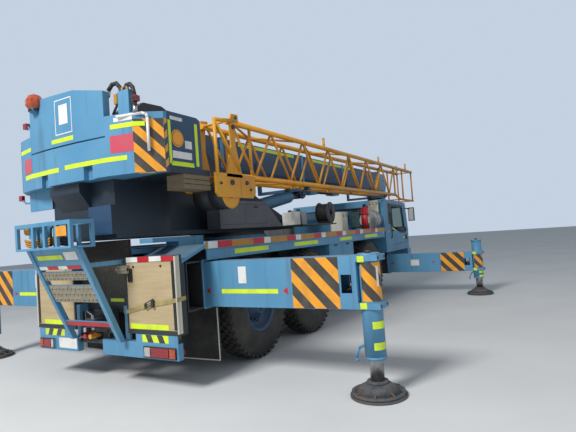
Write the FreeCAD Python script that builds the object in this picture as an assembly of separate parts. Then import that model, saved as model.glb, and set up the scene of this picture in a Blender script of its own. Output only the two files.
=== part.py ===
import FreeCAD, Part
import math
import os

os.makedirs("parts", exist_ok=True)
V = FreeCAD.Vector

# Three-axle mobile crane, parked on its outriggers with the boom level.
# All lengths in mm. While drawing, x = 0 is the rear right outrigger's axis, +x forward, +y left,
# z = 0 the ground; export moves everything by -MID_X so that x = 0 is the middle of the length.

# ---- driving dimensions ----
WHEEL_R, TYRE_W, RIM_R = 685.0, 370.0, 325.0
WHEEL_SIDES = 24            # flat sides of a tyre in the mesh
TRACK_Y = 1095.0            # wheel middle, from the centre plane
PIN_Y = 805.0               # kingpin
AXLE_X = {"1": 5300.0, "2": 2490.0, "3": 910.0}
HALF_W = 1275.0
DECK_Z, DECK_T, DECK_X0, DECK_X1 = 1600.0, 60.0, -190.0, 6330.0
RAIL_Y, RAIL_T, RAIL_Z0 = 480.0, 110.0, 900.0
MAT_Y0, MAT_Y1, MAT_Z0, MAT_Z1 = 500.0, HALF_W - 30, 690.0, 1448.0      # spreader mats at the back
BEAM_W, SLIDE_GAP, SLEEVE_T = 240.0, 0.5, 20.0
BEAM_OUT, BEAM_IN, SLEEVE_Y = 3200.0, 850.0, 1160.0
JACK_R, ROD_R, PAD_R = 105.0, 70.0, 280.0
ROD_GAP = 0.3
SPIN_R = 65.0               # wheel spindle
SLEW_X, RING_R = 1900.0, 640.0
UP_Z = 1740.0               # underside of the upper frame
FLOOR_Z = 2414.0            # underside of the counterweight
PIV_X, PIV_Z = 350.0, 2870.0
BOOM_W, BOOM_H, BOOM_Z, BX0, BX1 = 600.0, 650.0, 2930.0, 60.0, 8900.0
LUFF_A = (1600.0, UP_Z + 240)                       # cylinder foot pin
LUFF_B = (4400.0, BOOM_Z - BOOM_H / 2 - 120)        # rod eye pin
HEAD_X = BX1 + 390
HEAD_PIN, HEAD_PIN_R = (HEAD_X + 410, BOOM_Z - 70), 40.0    # bores that take a jib's foot
CX0, CX1, CW, CT, CZ0, CZ1 = 6420.0, 8330.0, 1250.0, 45.0, 1030.0, 2320.0    # carrier cab
OX0, OX1, OY0, OY1, OZ0, OZ1, OT = 2100.0, 3600.0, 480.0, 1200.0, 1800.0, 3240.0, 40.0
JX0, JX1, JY0, JY1, JZ0, JZ1 = 340.0, 8950.0, -1280.0, -880.0, 2450.0, 3150.0    # jib chords
CHORD_R = 38.0
HIDE_GAP = 0.3              # clearance between curved faces of different bodies

SL_W = BEAM_W + 2 * (SLIDE_GAP + SLEEVE_T)          # the two sleeves of a pair lie side by side
RX_, FX_ = 0.0, 6794.0
# beam, side, x, underside z, height, top of the jack tube, foot of the jack tube
BEAMS = [("rear_right", -1, RX_, 860.0, 530.0, 1400.0, 365.0),
         ("rear_left", 1, RX_ - SL_W, 860.0, 530.0, 1400.0, 365.0),
         ("front_right", -1, FX_, 530.0, 430.0, 1212.0, 365.0),
         ("front_left", 1, FX_ + SL_W, 530.0, 430.0, 1212.0, 365.0)]
SIDES = (("right", -1), ("left", 1))

REAR_X, TIP_X = -1390.0, HEAD_X + 510
MID_X = (REAR_X + TIP_X) / 2


def box(x0, x1, y0, y1, z0, z1):
    y0, y1 = sorted((y0, y1))
    return Part.makeBox(x1 - x0, y1 - y0, z1 - z0, V(x0, y0, z0))


def cyl(x, y, z, r, h, axis="z"):
    d = {"x": V(1, 0, 0), "y": V(0, 1, 0), "z": V(0, 0, 1)}[axis]
    return Part.makeCylinder(r, h, V(x, y, z), d)


def tube_box(x0, x1, y0, y1, z0, z1, t):
    """a box tube along y"""
    return box(x0, x1, y0, y1, z0, z1).cut(box(x0 + t, x1 - t, y0 - 1, y1 + 1, z0 + t, z1 - t))


def side_plate(pts, y0, y1):
    """a plate from an outline in the xz plane"""
    y0, y1 = sorted((y0, y1))
    w = Part.makePolygon([V(x, y0, z) for x, z in pts] + [V(pts[0][0], y0, pts[0][1])])
    return Part.Face(w).extrude(V(0, y1 - y0, 0))


def plan_plate(pts, z0, z1):
    """a plate from an outline in the xy plane"""
    w = Part.makePolygon([V(x, y, z0) for x, y in pts] + [V(pts[0][0], pts[0][1], z0)])
    return Part.Face(w).extrude(V(0, 0, z1 - z0))


def end_plate(pts, x0, x1):
    """a plate from an outline in the yz plane"""
    w = Part.makePolygon([V(x0, y, z) for y, z in pts] + [V(x0, pts[0][0], pts[0][1])])
    return Part.Face(w).extrude(V(x1 - x0, 0, 0))


def bar(p, q, r, sides=4):
    """a straight bar with flat sides between two points, flats facing y"""
    a, b = V(*p), V(*q)
    u = (b - a).normalize()
    v = V(0, 1, 0) if abs(u.y) < 0.9 else V(0, 0, 1)
    v = (v - u * v.dot(u)).normalize()
    w = u.cross(v)
    c, step = r / math.cos(math.pi / sides), 2 * math.pi / sides
    vs = [a + v * (c * math.cos((i + 0.5) * step)) + w * (c * math.sin((i + 0.5) * step)) for i in range(sides)]
    return Part.Face(Part.makePolygon(vs + [vs[0]])).extrude(V(*q) - a)


def turned(loop, n, x, y, z):
    """a ring with n flat sides about the line through (x, z) along y, from a closed loop of (radius, y)"""
    def at(p, k):
        a = 2 * math.pi * k / n
        return V(x + p[0] * math.cos(a), y + p[1], z + p[0] * math.sin(a))
    faces = []
    for p, q in zip(loop, loop[1:] + loop[:1]):
        for k in range(n):
            vs = [at(p, k), at(q, k), at(q, k + 1), at(p, k + 1)]
            faces.append(Part.Face(Part.makePolygon(vs + [vs[0]])))
    shell = Part.makeShell(faces)
    shell.sewShape()
    return Part.makeSolid(shell)


def tapered(x, y, rings, n):
    """an upright solid with n flat sides, from its rings' (radius, z) upwards"""
    rs = [[V(x + r * math.cos(2 * math.pi * k / n), y + r * math.sin(2 * math.pi * k / n), z) for k in range(n + 1)] for r, z in rings]
    outlines = [rs[0], rs[-1]] + [[a[k], a[k + 1], b[k + 1], b[k], a[k]] for a, b in zip(rs, rs[1:]) for k in range(n)]
    return Part.makeSolid(Part.makeShell([Part.Face(Part.makePolygon(w)) for w in outlines]))


def pipe(x, path, r, n=6):
    """a bent tube with n flat sides in the plane at x, through (y, z) points"""
    rings = []
    for i, (y, z) in enumerate(path):
        ends = [V(0, b[0] - a[0], b[1] - a[1]).normalize() for a, b in zip(path[max(i - 1, 0):i + 1], path[max(i, 1):i + 2])]
        t = sum(ends[1:], ends[0]).normalize()
        w, c = V(0, -t.z, t.y), r / t.dot(ends[0])
        turns = [2 * math.pi * k / n for k in range(n + 1)]
        rings.append([V(x + r * math.cos(a), y, z) + w * (c * math.sin(a)) for a in turns])
    outlines = [rings[0], rings[-1]] + [[a[k], a[k + 1], b[k + 1], b[k], a[k]] for a, b in zip(rings, rings[1:]) for k in range(n)]
    return Part.makeSolid(Part.makeShell([Part.Face(Part.makePolygon(w)) for w in outlines]))


def hinge(x, y, s, z, h, reach):
    """half a door hinge: an eye beside the face at y, and its leaf reaching along x"""
    x0, x1 = sorted((x, x + reach))
    return cyl(x, y + s * 16, z, 16, h).fuse(box(x0, x1, y, y + s * 10, z, z + h))


def fuse(shapes):
    s = shapes[0].multiFuse(shapes[1:]) if len(shapes) > 1 else shapes[0]
    return s.removeSplitter()


def save(name, shape):
    if isinstance(shape, list):
        shape = Part.makeCompound(shape)
    s = shape.copy()
    s.translate(V(-MID_X, 0, 0))
    s.exportStep("parts/%s.step" % name)


# ---- carrier: frame with outrigger sleeves ----
RAIL_Z1 = DECK_Z - DECK_T
R_EDGE = RX_ - SL_W * 1.5           # rear face of the rear sleeves
F_EDGE = FX_ - SL_W / 2             # rear face of the front sleeves
FS_TOP = BEAMS[2][3] + BEAMS[2][4] + SLIDE_GAP + SLEEVE_T
TAIL_X = -560.0                     # rear end of the frame
NOSE_X = CX1 - 180                  # where the front bumper is bolted
rails = []
for s in (-1, 1):
    y0, y1 = s * RAIL_Y - RAIL_T / 2, s * RAIL_Y + RAIL_T / 2
    rails.append(box(RX_ + SL_W / 2, CX0 - 6, y0, y1, RAIL_Z0, RAIL_Z1))
    rails.append(box(CX0 - 7, F_EDGE, y0, y1, RAIL_Z0, CZ0))
    rails.append(box(F_EDGE - 20, NOSE_X, y0, y1, FS_TOP, CZ0))
for x in (200, AXLE_X["2"] - 900, AXLE_X["2"] + 900, AXLE_X["1"] - 600, CX0 - 130):
    rails.append(box(x, x + 110, -RAIL_Y, RAIL_Y, RAIL_Z0 + 100, RAIL_Z1 - 20))
rails.append(box(NOSE_X - 100, NOSE_X, -RAIL_Y, RAIL_Y, FS_TOP, CZ0))
for name, s, x, z, h, top, foot in BEAMS:
    z0 = z - SLIDE_GAP - SLEEVE_T
    rails.append(tube_box(x - SL_W / 2, x + SL_W / 2, -SLEEVE_Y, SLEEVE_Y, z0, 2 * z + h - z0, SLEEVE_T))
rails.append(box(TAIL_X, R_EDGE, -RAIL_Y, RAIL_Y, 850, 1300))
rails.append(box(TAIL_X - 20, TAIL_X + 2, 26 - MAT_Y0, MAT_Y0 - 26, 950, RAIL_Z1))
save("carrier_frame", fuse(rails))

# axles with their suspension rams, up to the kingpins
ax = []
for k, x in AXLE_X.items():
    a = [box(x - 70, x + 70, -PIN_Y + 110, PIN_Y - 110, 610, 760), box(x - 150, x + 150, -150, 150, 560, 800)]
    for s in (-1, 1):
        a.append(box(x - 70, x + 70, s * (PIN_Y - 125), s * (PIN_Y - 85), 540, 830))
        for z0, z1 in ((800, 830), (540, 570)):
            a.append(box(x - 70, x + 70, s * (PIN_Y - 105), s * (PIN_Y + 15), z0, z1))
        a.append(box(x - 45, x + 45, s * (RAIL_Y + 75), s * (RAIL_Y + 165), 700, RAIL_Z1 - 100))
        a.append(box(x - 60, x + 60, s * (RAIL_Y + RAIL_T / 2), s * (RAIL_Y + 165), RAIL_Z1 - 110, RAIL_Z1 - 10))
    ax.append(fuse(a))
save("axles", ax)

ENG = (AXLE_X["1"] - 490, CX0 - 320)
save("engine_block", box(ENG[0], ENG[1], -RAIL_Y + 80, RAIL_Y - 80, RAIL_Z0 - 50, RAIL_Z1 - 60))

# deck plate with its edge lip, side skirt and the panels that slope down at the back
SLOPE_X, SLOPE_Z = -600.0, DECK_Z - 147
deck = [box(DECK_X0, DECK_X1, -HALF_W, HALF_W, RAIL_Z1, DECK_Z), box(TAIL_X - 20, DECK_X0 + 1, -500, 500, RAIL_Z1, DECK_Z),
        tapered(SLEW_X, 0, ((RING_R, DECK_Z - 1), (RING_R, DECK_Z + 80)), 24),
        box(DECK_X0 + 10, 280, -850, -640, DECK_Z - 1, DECK_Z + 60), box(-600, 280, -850, -640, DECK_Z + 59, DECK_Z + 115)]
for s in (-1, 1):
    deck.append(box(DECK_X0, DECK_X1, s * HALF_W, s * (HALF_W - 24), RAIL_Z1 - 1, DECK_Z + 35))
    deck.append(box(RX_ - SL_W / 2, DECK_X1, s * (HALF_W - 24), s * (HALF_W - 44), RAIL_Z1 - 130, RAIL_Z1 + 1))
    deck.append(side_plate([(DECK_X0 + 1, DECK_Z), (DECK_X0 + 1, DECK_Z - 40), (SLOPE_X, SLOPE_Z - 40), (SLOPE_X, SLOPE_Z)],
                           s * 499, s * HALF_W))
save("deck", fuse(deck))

# knuckles and wheels; the wheel's loop is read as (radius, y outwards from the tyre's middle)
h = TYRE_W / 2
tyre = [(RIM_R - 18, 20 - h), (RIM_R + 150, -h), (WHEEL_R - 70, 15 - h), (WHEEL_R, 60 - h),
        (WHEEL_R, h - 60), (WHEEL_R - 70, h - 15), (RIM_R + 150, h), (RIM_R - 18, h - 20)]
rim = [(RIM_R - 32, 30), (150, 100), (SPIN_R - 5, 100), (SPIN_R - 5, -70), (RIM_R - 32, -25)]
for k, x in AXLE_X.items():
    for side, s in SIDES:
        block = box(x - 55, x + 55, s * PIN_Y - 55, s * PIN_Y + 55, 610, 760)
        pins = [cyl(x, s * PIN_Y, 570 + HIDE_GAP, 30, 41), cyl(x, s * PIN_Y, 759, 30, 41 - HIDE_GAP)]
        spin = bar((x, s * (PIN_Y + 54), WHEEL_R), (x, s * (TRACK_Y + 17), WHEEL_R), SPIN_R * math.cos(math.pi / 16), 16)
        save("knuckle_%s_%s" % (k, side), fuse([block, spin] + pins))
        w = turned([(r, s * b) for r, b in tyre + rim], WHEEL_SIDES, x, s * TRACK_Y, WHEEL_R)
        w = w.cut(cyl(x, min(s * (TRACK_Y - 71), s * (TRACK_Y + 20)), WHEEL_R, SPIN_R + HIDE_GAP, 91, "y"))
        cap = bar((x, s * (TRACK_Y + 20), WHEEL_R), (x, s * (TRACK_Y + 112), WHEEL_R), 90, 8)
        save("wheel_%s_%s" % (k, side), fuse([w, cap]))

# outrigger beams with their jack tubes, and jacks with their pads
for name, s, x, z, h, top, foot in BEAMS:
    a = BEAM_W / 2
    beam = box(x - a, x + a, s * BEAM_IN, s * (BEAM_OUT - 95), z, z + h)
    beam = beam.cut(box(x - a + 14, x + a - 14, s * (BEAM_IN - 5), s * (BEAM_OUT - 140), z + 14, z + h - 14))
    beam = beam.cut(box(x - a - 1, x + a + 1, s * (BEAM_OUT - 265), s * (BEAM_OUT - 150), z + 0.3 * h, z + 0.65 * h))
    clasps = [box(x - a, x + a, s * (BEAM_OUT - 150), s * (BEAM_OUT + 130), c, c + 60) for c in (z, z + h - 60)]
    beam = fuse([beam, tapered(x, s * BEAM_OUT, ((JACK_R, foot), (JACK_R, top)), 16)] + clasps)
    save("beam_" + name, beam.cut(tapered(x, s * BEAM_OUT, ((ROD_R + ROD_GAP, foot - 1), (ROD_R + ROD_GAP, top - 20)), 16)))
    pad = tapered(x, s * BEAM_OUT, ((PAD_R, 0), (PAD_R, 60), (120, 150)), 16)
    save("jack_" + name, fuse([pad, tapered(x, s * BEAM_OUT, ((ROD_R, 100), (ROD_R, foot + 210)), 16)]))

# ---- carrier cab: outlines in the xz plane ----
DX0, DX1, HX = CX0 + 480, CX1 - 290, CX1 - 268      # door's rear edge, its front edge at the sill, hinge line
ZW0, ZW1 = CZ0 + 580, CZ1 - 170                     # window sill and top
prof = [(CX0, CZ0), (CX1 - 40, CZ0), (CX1, CZ0 + 500), (CX1 - 140, CZ1 - 70), (CX0 + 20, CZ1)]
inner = [(CX0 + CT, CZ0 + 90), (CX1 - 90, CZ0 + 90), (CX1 - 50, CZ0 + 500), (CX1 - 185, CZ1 - 115), (CX0 + CT + 20, CZ1 - CT)]


def door_line(g):
    return [(DX0 + g, CZ0 + 165 + g), (DX1 - g, CZ0 + 165 + g), (HX - g, CZ0 + 520), (DX1 - 140 - g, CZ1 - 120 - g),
            (DX0 + g, CZ1 - 100 - g)]


cab = side_plate(prof, -CW, CW).cut(side_plate(inner, -CW + CT, CW - CT))
for s in (-1, 1):
    cab = cab.cut(side_plate(door_line(0), s * (CW - CT - 1), s * (CW + 1)))
cab = cab.cut(box(CX1 - 250, CX1 + 50, -CW + 120, CW - 120, ZW0, ZW1))
cab = cab.cut(box(CX0 - 5, CX0 + CT + 40, -CW + 250, CW - 250, ZW0 + 60, ZW1))
for s in (-1, 1):
    for z in (CZ0 + 320, CZ0 + 520):
        cab = cab.fuse(hinge(HX, s * CW, s, z, 60, 50))
    # mirror on its arm, ahead of the door's hinge line
    cab = cab.fuse([bar((CX1 - 175, s * (CW - 30), CZ1 - 200), (CX1 - 105, s * (CW + 140), CZ1 - 240), 14),
                    box(CX1 - 135, CX1 - 75, s * (CW + 70), s * (CW + 230), CZ1 - 560, CZ1 - 200)])
save("cab_shell", cab.removeSplitter())


def slanted(xa, xb, t, y, za, zb):
    """a flat pane between two heights, leaning from xa below to xb above"""
    return side_plate([(xa, za), (xa + t, za), (xb + t, zb), (xb, zb)], -y, y)


lean = 140.0 / (CZ1 - 70 - CZ0 - 500)
save("cab_glass", [slanted(CX1 - 30 - lean * (ZW0 - CZ0 - 500), CX1 - 30 - lean * (ZW1 - CZ0 - 500), 8, CW - 120, ZW0, ZW1),
                   slanted(CX0 + 24, CX0 + 32, 8, CW - 250, ZW0 + 60, ZW1)])
win = [(DX0 + 90, ZW0), (DX1 - 80, ZW0), (DX1 - 190, ZW1 - 30), (DX0 + 90, ZW1 - 20)]
for side, s in SIDES:
    d = side_plate(door_line(6), s * (CW - CT), s * CW).cut(side_plate(win, s * (CW - CT - 1), s * (CW + 1)))
    d = d.fuse([hinge(HX, s * CW, s, z - 60 - HIDE_GAP, 60, -60) for z in (CZ0 + 320, CZ0 + 520)])
    save("cab_door_" + side, d.fuse(box(DX0 + 30, DX0 + 110, s * CW, s * (CW + 30), CZ0 + 500, CZ0 + 530)).removeSplitter())
seats = []
FLOOR = CZ0 + 90
for s in (-1, 1):
    back = [(DX0 - 60, FLOOR + 300), (DX0 + 80, FLOOR + 300), (DX0 - 20, CZ1 - 270), (DX0 - 140, CZ1 - 270)]
    seats.append(fuse([box(DX0, DX0 + 500, s * 450, s * 950, FLOOR, FLOOR + 350), side_plate(back, s * 470, s * 930)]))
save("cab_interior", seats + [box(CX1 - 480, CX1 - 180, -CW + 100, CW - 100, FLOOR, CZ0 + 480)])
save("bumper_front", fuse([box(NOSE_X, CX1 + 110, -CW, CW, 480, CZ0 - 2), box(CX1 + 109, CX1 + 125, -CW, -CW + 400, 640, 800),
                           box(CX1 + 109, CX1 + 125, CW - 400, CW, 640, 800)]))

# ---- rear end: bumper, ladder with its bin, mats, flaps ----
RX = TAIL_X - 140                   # rear face of bumper and mats
bump = []
for s, inner_y in ((-1, 20), (1, 450)):
    b = [box(RX, RX + 80, s * inner_y, s * (HALF_W - 35), 370, 550), box(RX, RX + 12, s * 600, s * (HALF_W - 35), 549, 638),
         box(RX + 20, RX + 60, s * 410, s * 470, 549, 900), box(RX + 20, TAIL_X, s * 400, s * 470, 860, 950),
         box(RX - 16, RX + 1, s * (HALF_W - 85), s * (HALF_W - 575 if s < 0 else HALF_W - 375), 392, 505)]
    bump.append(fuse(b))
save("bumper_rear", bump)
LZ0, LZ1 = 550.0, 1665.0            # foot and top of the ladder


def lad(z, d=0.0):
    """a point on the ladder's sloping line at height z"""
    return (RX - 60 - (z - LZ0) * 0.446 + d, z)


rack = []
for s in (-1, 1):
    rack.append(side_plate([lad(LZ0, -35), lad(LZ0, 35), lad(LZ1, 35), lad(LZ1, -35)], s * 400, s * 460))
    rack.append(box(lad(1465)[0], TAIL_X - 20, s * 400, s * 440, 1440, 1490))
# underside z, top z and half thickness of the panels between the stringers: rung, two treads, fascia
for za, zb, t in ((740, 800, 18), (1040, 1250, 12), (1305, 1410, 12), (1430, LZ1, 15)):
    rack.append(side_plate([lad(za, -t), lad(za, t), lad(zb, t), lad(zb, -t)], -405, 405))
save("rear_rack", fuse(rack))
BIN_Z = LZ1 + 300
binb = [box(REAR_X, REAR_X + 300, -500, 500, LZ1, LZ1 + 25)]
for x in (REAR_X, REAR_X + 260):
    binb.append(box(x, x + 40, -500, 500, BIN_Z - 45, BIN_Z))
    for y in (-500, -270, -60, 150, 460):
        binb.append(box(x, x + 40, y, y + 40, LZ1, BIN_Z))
for y in (-500, 460):
    binb.append(box(REAR_X, REAR_X + 300, y, y + 40, BIN_Z - 45, BIN_Z))
save("rear_bin", fuse(binb))
save("mats", [box(RX + 4, RX + 94, s * MAT_Y0, s * MAT_Y1, MAT_Z0, MAT_Z1) for s in (-1, 1)])
hold = []
for s in (-1, 1):
    h = [box(RX + 4, xe, s * y, s * (y + 26), MAT_Z0 - 50, ze) for y in (MAT_Y0 - 26, MAT_Y1)
         for xe, ze in ((SLOPE_X, MAT_Z1 + 65), (TAIL_X, SLOPE_Z - 40))]
    h += [box(RX + 4, TAIL_X, s * (MAT_Y0 - 26), s * MAT_Y1, MAT_Z0 - 50, MAT_Z0),
          box(RX, RX + 60, s * (MAT_Y0 - 26), s * (MAT_Y1 + 26), MAT_Z1, MAT_Z1 + 65),
          box(TAIL_X - 30, TAIL_X, s * MAT_Y0, s * MAT_Y1, 1100, 1160),
          box(TAIL_X - 1, R_EDGE, s * 700, s * 800, 1080, 1180), box(TAIL_X - 30, TAIL_X, s * 700, s * 800, 1080, 1180)]
    hold.append(fuse(h))
save("mat_holders", hold)
save("mudflaps", [box(-4, 4, s * 630, s * (HALF_W - 10), 190, BEAMS[0][3] - SLIDE_GAP - SLEEVE_T) for s in (-1, 1)])

# ---- deck gear and side boxes ----
SBX = (AXLE_X["2"] + 790, AXLE_X["1"] - 880)
save("side_boxes", [box(SBX[0], SBX[1], s * 640, s * (HALF_W - 50), 1000, RAIL_Z1) for s in (-1, 1)])
HOOD = (DECK_X1 - 1300, DECK_X1 - 60)
save("engine_hood", side_plate([(HOOD[0], DECK_Z), (HOOD[0], DECK_Z + 330), (HOOD[0] + 200, DECK_Z + 480), (HOOD[1], DECK_Z + 480),
                                (HOOD[1], DECK_Z)], -480, 480))
save("deck_boxes", [box(4690, 5000, -900, -620, DECK_Z, DECK_Z + 430), box(4690, 5600, 620, 1100, DECK_Z, DECK_Z + 350)])
save("extinguisher", tapered(5480, 160 - HALF_W, [(r, DECK_Z + z) for r, z in ((85, 0), (85, 490), (35, 530), (35, 590))], 10))
EXH = (CX0 - 440, CX0 - 60)
save("exhaust", fuse([bar((EXH[0], -1000, DECK_Z + 240), (EXH[1], -1000, DECK_Z + 240), 205, 12),
                      box(EXH[1] - 60, EXH[1] - 20, -1150, -900, DECK_Z, DECK_Z + 700),
                      box(EXH[0] + 60, EXH[0] + 120, -1150, -850, DECK_Z, DECK_Z + 100)]))

# ---- upper: ring, frame, counterweight ----
save("slew_ring", cyl(SLEW_X, 0, DECK_Z + 80 + HIDE_GAP, RING_R - 20, UP_Z - DECK_Z - 80 - HIDE_GAP))
BASE_X, CWX, HOUSE_X, CWH = -850.0, -700.0, -150.0, HALF_W + 5
CHEEK_Y, CHEEK_T = 370.0, 40.0
up = [box(0, 3150, -560, 560, UP_Z, UP_Z + 60), box(BASE_X, 1, -560, 560, UP_Z, FLOOR_Z),
      box(CWX, HOUSE_X + 130, -CWH, CWH, FLOOR_Z, FLOOR_Z + 66), box(HOUSE_X - 1, 1, -CHEEK_Y - 40, CHEEK_Y + 40, UP_Z, FLOOR_Z + 66)]
cheek = [(0, UP_Z), (3150, UP_Z), (3150, UP_Z + 220), (2100, UP_Z + 640), (PIV_X + 350, PIV_Z + 200), (PIV_X - 230, PIV_Z + 200), (0, PIV_Z - 120)]
# back: valve box, tail plate, and the plate under the counterweight with its lamp's arm
up += [box(BASE_X - 60, BASE_X + 1, -560, -170, 1790, 2120), box(BASE_X - 20, BASE_X + 10, 559, 1030, 2170, FLOOR_Z),
       side_plate([(BASE_X + 1, 2100), (-1000, 2300), (-1000, FLOOR_Z), (BASE_X + 1, FLOOR_Z)], -150, 400),
       pipe(BASE_X - 10, [(1025, 2290), (1130, 2290), (1215, 2340)], 12), box(BASE_X - 30, BASE_X + 10, 1195, 1265, 2330, 2400)]
for s in (-1, 1):
    up.append(side_plate(cheek, s * CHEEK_Y, s * (CHEEK_Y + CHEEK_T)))
upf = fuse(up).cut(cyl(LUFF_A[0], -450, LUFF_A[1], 45, 900, "y")).cut(cyl(PIV_X, -450, PIV_Z, 60 + HIDE_GAP, 900, "y"))
save("upper_frame", upf)

LOW_Z, SEAM_Z, HIGH_Y = 3070.0, 2850.0, 680.0
# plan of the counterweight's back as (x, y) from the right side to the left
arc = [(-750, -CWH), (-955, -1030), (-1035, -HIGH_Y), (-1070, -220), (-1070, 220), (-1035, HIGH_Y), (-955, 1030), (-750, CWH)]
low = plan_plate([(CWX, -CWH)] + arc + [(CWX, CWH)], FLOOR_Z, LOW_Z)
mid = box(CWX - 1, -300, -640, 640, FLOOR_Z + 66, LOW_Z)
high = plan_plate([(-950, -HIGH_Y)] + arc[2:6] + [(-950, HIGH_Y)], LOW_Z - 1, LOW_Z + 430)
high = high.common(end_plate([(-HIGH_Y - 1, LOW_Z - 2), (-HIGH_Y - 1, LOW_Z + 290), (-220, LOW_Z + 385), (HIGH_Y + 1, LOW_Z + 420),
                              (HIGH_Y + 1, LOW_Z - 2)], -1200, 0))
cw = fuse([low, mid, high]).cut(box(-1100, -1022, -HIGH_Y - 5, HIGH_Y + 5, SEAM_Z - 9, SEAM_Z + 9))
for s in (-1, 1):
    cw = cw.cut(box(-1100, -1000, s * 330, s * 470, FLOOR_Z - 1, FLOOR_Z + 150))
# hose arches and their block on the right, lamps at both ends, beacon on its bracket
cw = cw.fuse([pipe(-930, [(-870, LOW_Z - 2), (-870, 3290), (-845, 3380), (-790, 3440), (-720, 3440), (-660, 3390), (-620, 3320)], 22),
              pipe(-930, [(-1060, LOW_Z - 2), (-1060, 3260), (-1040, 3340), (-1000, 3385), (-950, 3385), (-915, 3340), (-900, 3250)], 22),
              box(-960, -902, -1000, -830, LOW_Z - 1, LOW_Z + 260), box(-965, -902, -1110, -1050, 3180, 3240),
              pipe(-930, [(845, LOW_Z - 2), (850, 3200), (900, 3260)], 10), box(-960, -900, 890, 960, 3225, 3295),
              box(-1090, -955, 480, 560, 3330, 3350), box(-1120, -1000, 470, 570, 3350, 3375),
              tapered(-1060, 520, [(r, 3374 + z) for r, z in ((70, 0), (105, 55), (105, 115), (70, 170), (20, 195))], 10)])
save("counterweight", cw)
side = [(CWX, FLOOR_Z + 66), (HOUSE_X, FLOOR_Z + 66), (HOUSE_X, LOW_Z - 10), (HOUSE_X - 60, LOW_Z + 20), (CWX, LOW_Z + 20)]
hood = [(-900, LOW_Z), (-900, LOW_Z + 60), (-830, LOW_Z + 120), (-560, LOW_Z + 130), (-390, LOW_Z + 60), (-390, LOW_Z + 19),
        (CWX, LOW_Z + 19), (CWX, LOW_Z)]
save("engine_house", [fuse([side_plate(side, -640, -CWH), side_plate(hood, -1080, -HIGH_Y - 2)]), side_plate(side, 640, CWH)])
boards = box(HOUSE_X - 330, HOUSE_X + 130, -CWH + 5, -1010, FLOOR_Z - 170, FLOOR_Z)
for z in (FLOOR_Z - 118, FLOOR_Z - 62):
    boards = boards.cut(box(HOUSE_X - 400, HOUSE_X + 200, -CWH, -CWH + 20, z, z + 8))
save("packing_boards", boards)
SB_Y = 805.0
grey = [(BOOM_Z - 2210, UP_Z + 40), (2400, UP_Z + 40), (1910, UP_Z + 450), (BOOM_Z - 2210, UP_Z + 450)]
save("upper_side_box", [side_plate(grey, -SB_Y, -560), box(500, OX0 - 100, 560, SB_Y, UP_Z + 40, UP_Z + 450)])
SHELF = (2430.0, 3780.0, UP_Z + 30)
REEL_X, REEL_R = 3570.0, 200.0
shelf = [box(SHELF[0], SHELF[1], -1180, -560, SHELF[2], SHELF[2] + 24), box(SHELF[0] + 40, SHELF[0] + 240, -1000, -760, SHELF[2] + 20, 2050),
         box(SHELF[0] + 300, SHELF[0] + 460, -1010, -800, SHELF[2] + 20, 2070),
         bar((REEL_X, -1170, SHELF[2] + 24 + REEL_R), (REEL_X, -940, SHELF[2] + 24 + REEL_R), REEL_R, 16),
         box(REEL_X - 90, REEL_X + 90, -1160, -950, SHELF[2] + 20, SHELF[2] + 100)]
save("hose_shelf", fuse(shelf))
save("winch", bar((PIV_X - 50, -CHEEK_Y, UP_Z + 340), (PIV_X - 50, CHEEK_Y, UP_Z + 340), 190, 16))

# ---- operator's cab, on the left ----
OZ2, OXS = OZ0 + 430, OX1 - 220     # widest line of the front, top edge of the windscreen
oprof = [(OX0, OZ0), (OX1 - 100, OZ0), (OX1, OZ2), (OXS, OZ1), (OX0, OZ1)]
oin = [(OX0 + OT, OZ0 + OT), (OX1 - 130, OZ0 + OT), (OX1 - OT, OZ2), (OXS - 35, OZ1 - OT), (OX0 + OT, OZ1 - OT)]
OHX = OX1 - 148                     # hinge line of the door


def odoor(g):
    return [(OX0 + 160 + g, OZ0 + 80 + g), (OX1 - 220 - g, OZ0 + 80 + g), (OX1 - 150 - g, OZ2 + 10), (OXS - 110 - g, OZ1 - 120 - g),
            (OX0 + 160 + g, OZ1 - 120 - g)]


oc = side_plate(oprof, OY0, OY1).cut(side_plate(oin, OY0 + OT, OY1 - OT))
oc = oc.cut(side_plate(odoor(0), OY1 - OT - 1, OY1 + 1))
oc = oc.cut(box(OX1 - 300, OX1 + 100, OY0 + 90, OY1 - 90, OZ0 + 170, OZ1 - 140))
oc = oc.cut(side_plate([(OX0 + 200, OZ0 + 470), (OX1 - 220, OZ0 + 470), (OXS - 140, OZ1 - 140), (OX0 + 200, OZ1 - 140)], OY0 - 1, OY0 + OT + 1))
oc = oc.cut(box(OX0 + 200, OXS - 180, OY0 + 100, OY1 - 100, OZ1 - OT - 1, OZ1 + 1))
oc = oc.fuse(box(OX0, 3150, OY0 + 60, 560, UP_Z + 60, OZ0 + 1))
for z in (OZ0 + 260, OZ0 + 420):
    oc = oc.fuse(hinge(OHX, OY1, 1, z, 50, 40))
save("operator_cab", oc.removeSplitter())
od = side_plate(odoor(6), OY1 - OT, OY1)
od = od.cut(side_plate([(OX0 + 240, OZ0 + 420), (OX1 - 260, OZ0 + 420), (OX1 - 230, OZ2 + 70), (OXS - 170, OZ1 - 200), (OX0 + 240, OZ1 - 200)],
                       OY1 - OT - 1, OY1 + 1))
for z in (OZ0 + 260, OZ0 + 420):
    od = od.fuse(hinge(OHX, OY1, 1, z - 50 - HIDE_GAP, 50, -80))
save("operator_door", od.removeSplitter())
oz0, oz1 = OZ0 + 170, OZ1 - 140
fx0 = OX1 - 18 - 100 * (OZ2 - oz0) / (OZ2 - OZ0)
fx1 = OX1 - 18 - (OX1 - OXS) * (oz1 - OZ2) / (OZ1 - OZ2)
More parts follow.
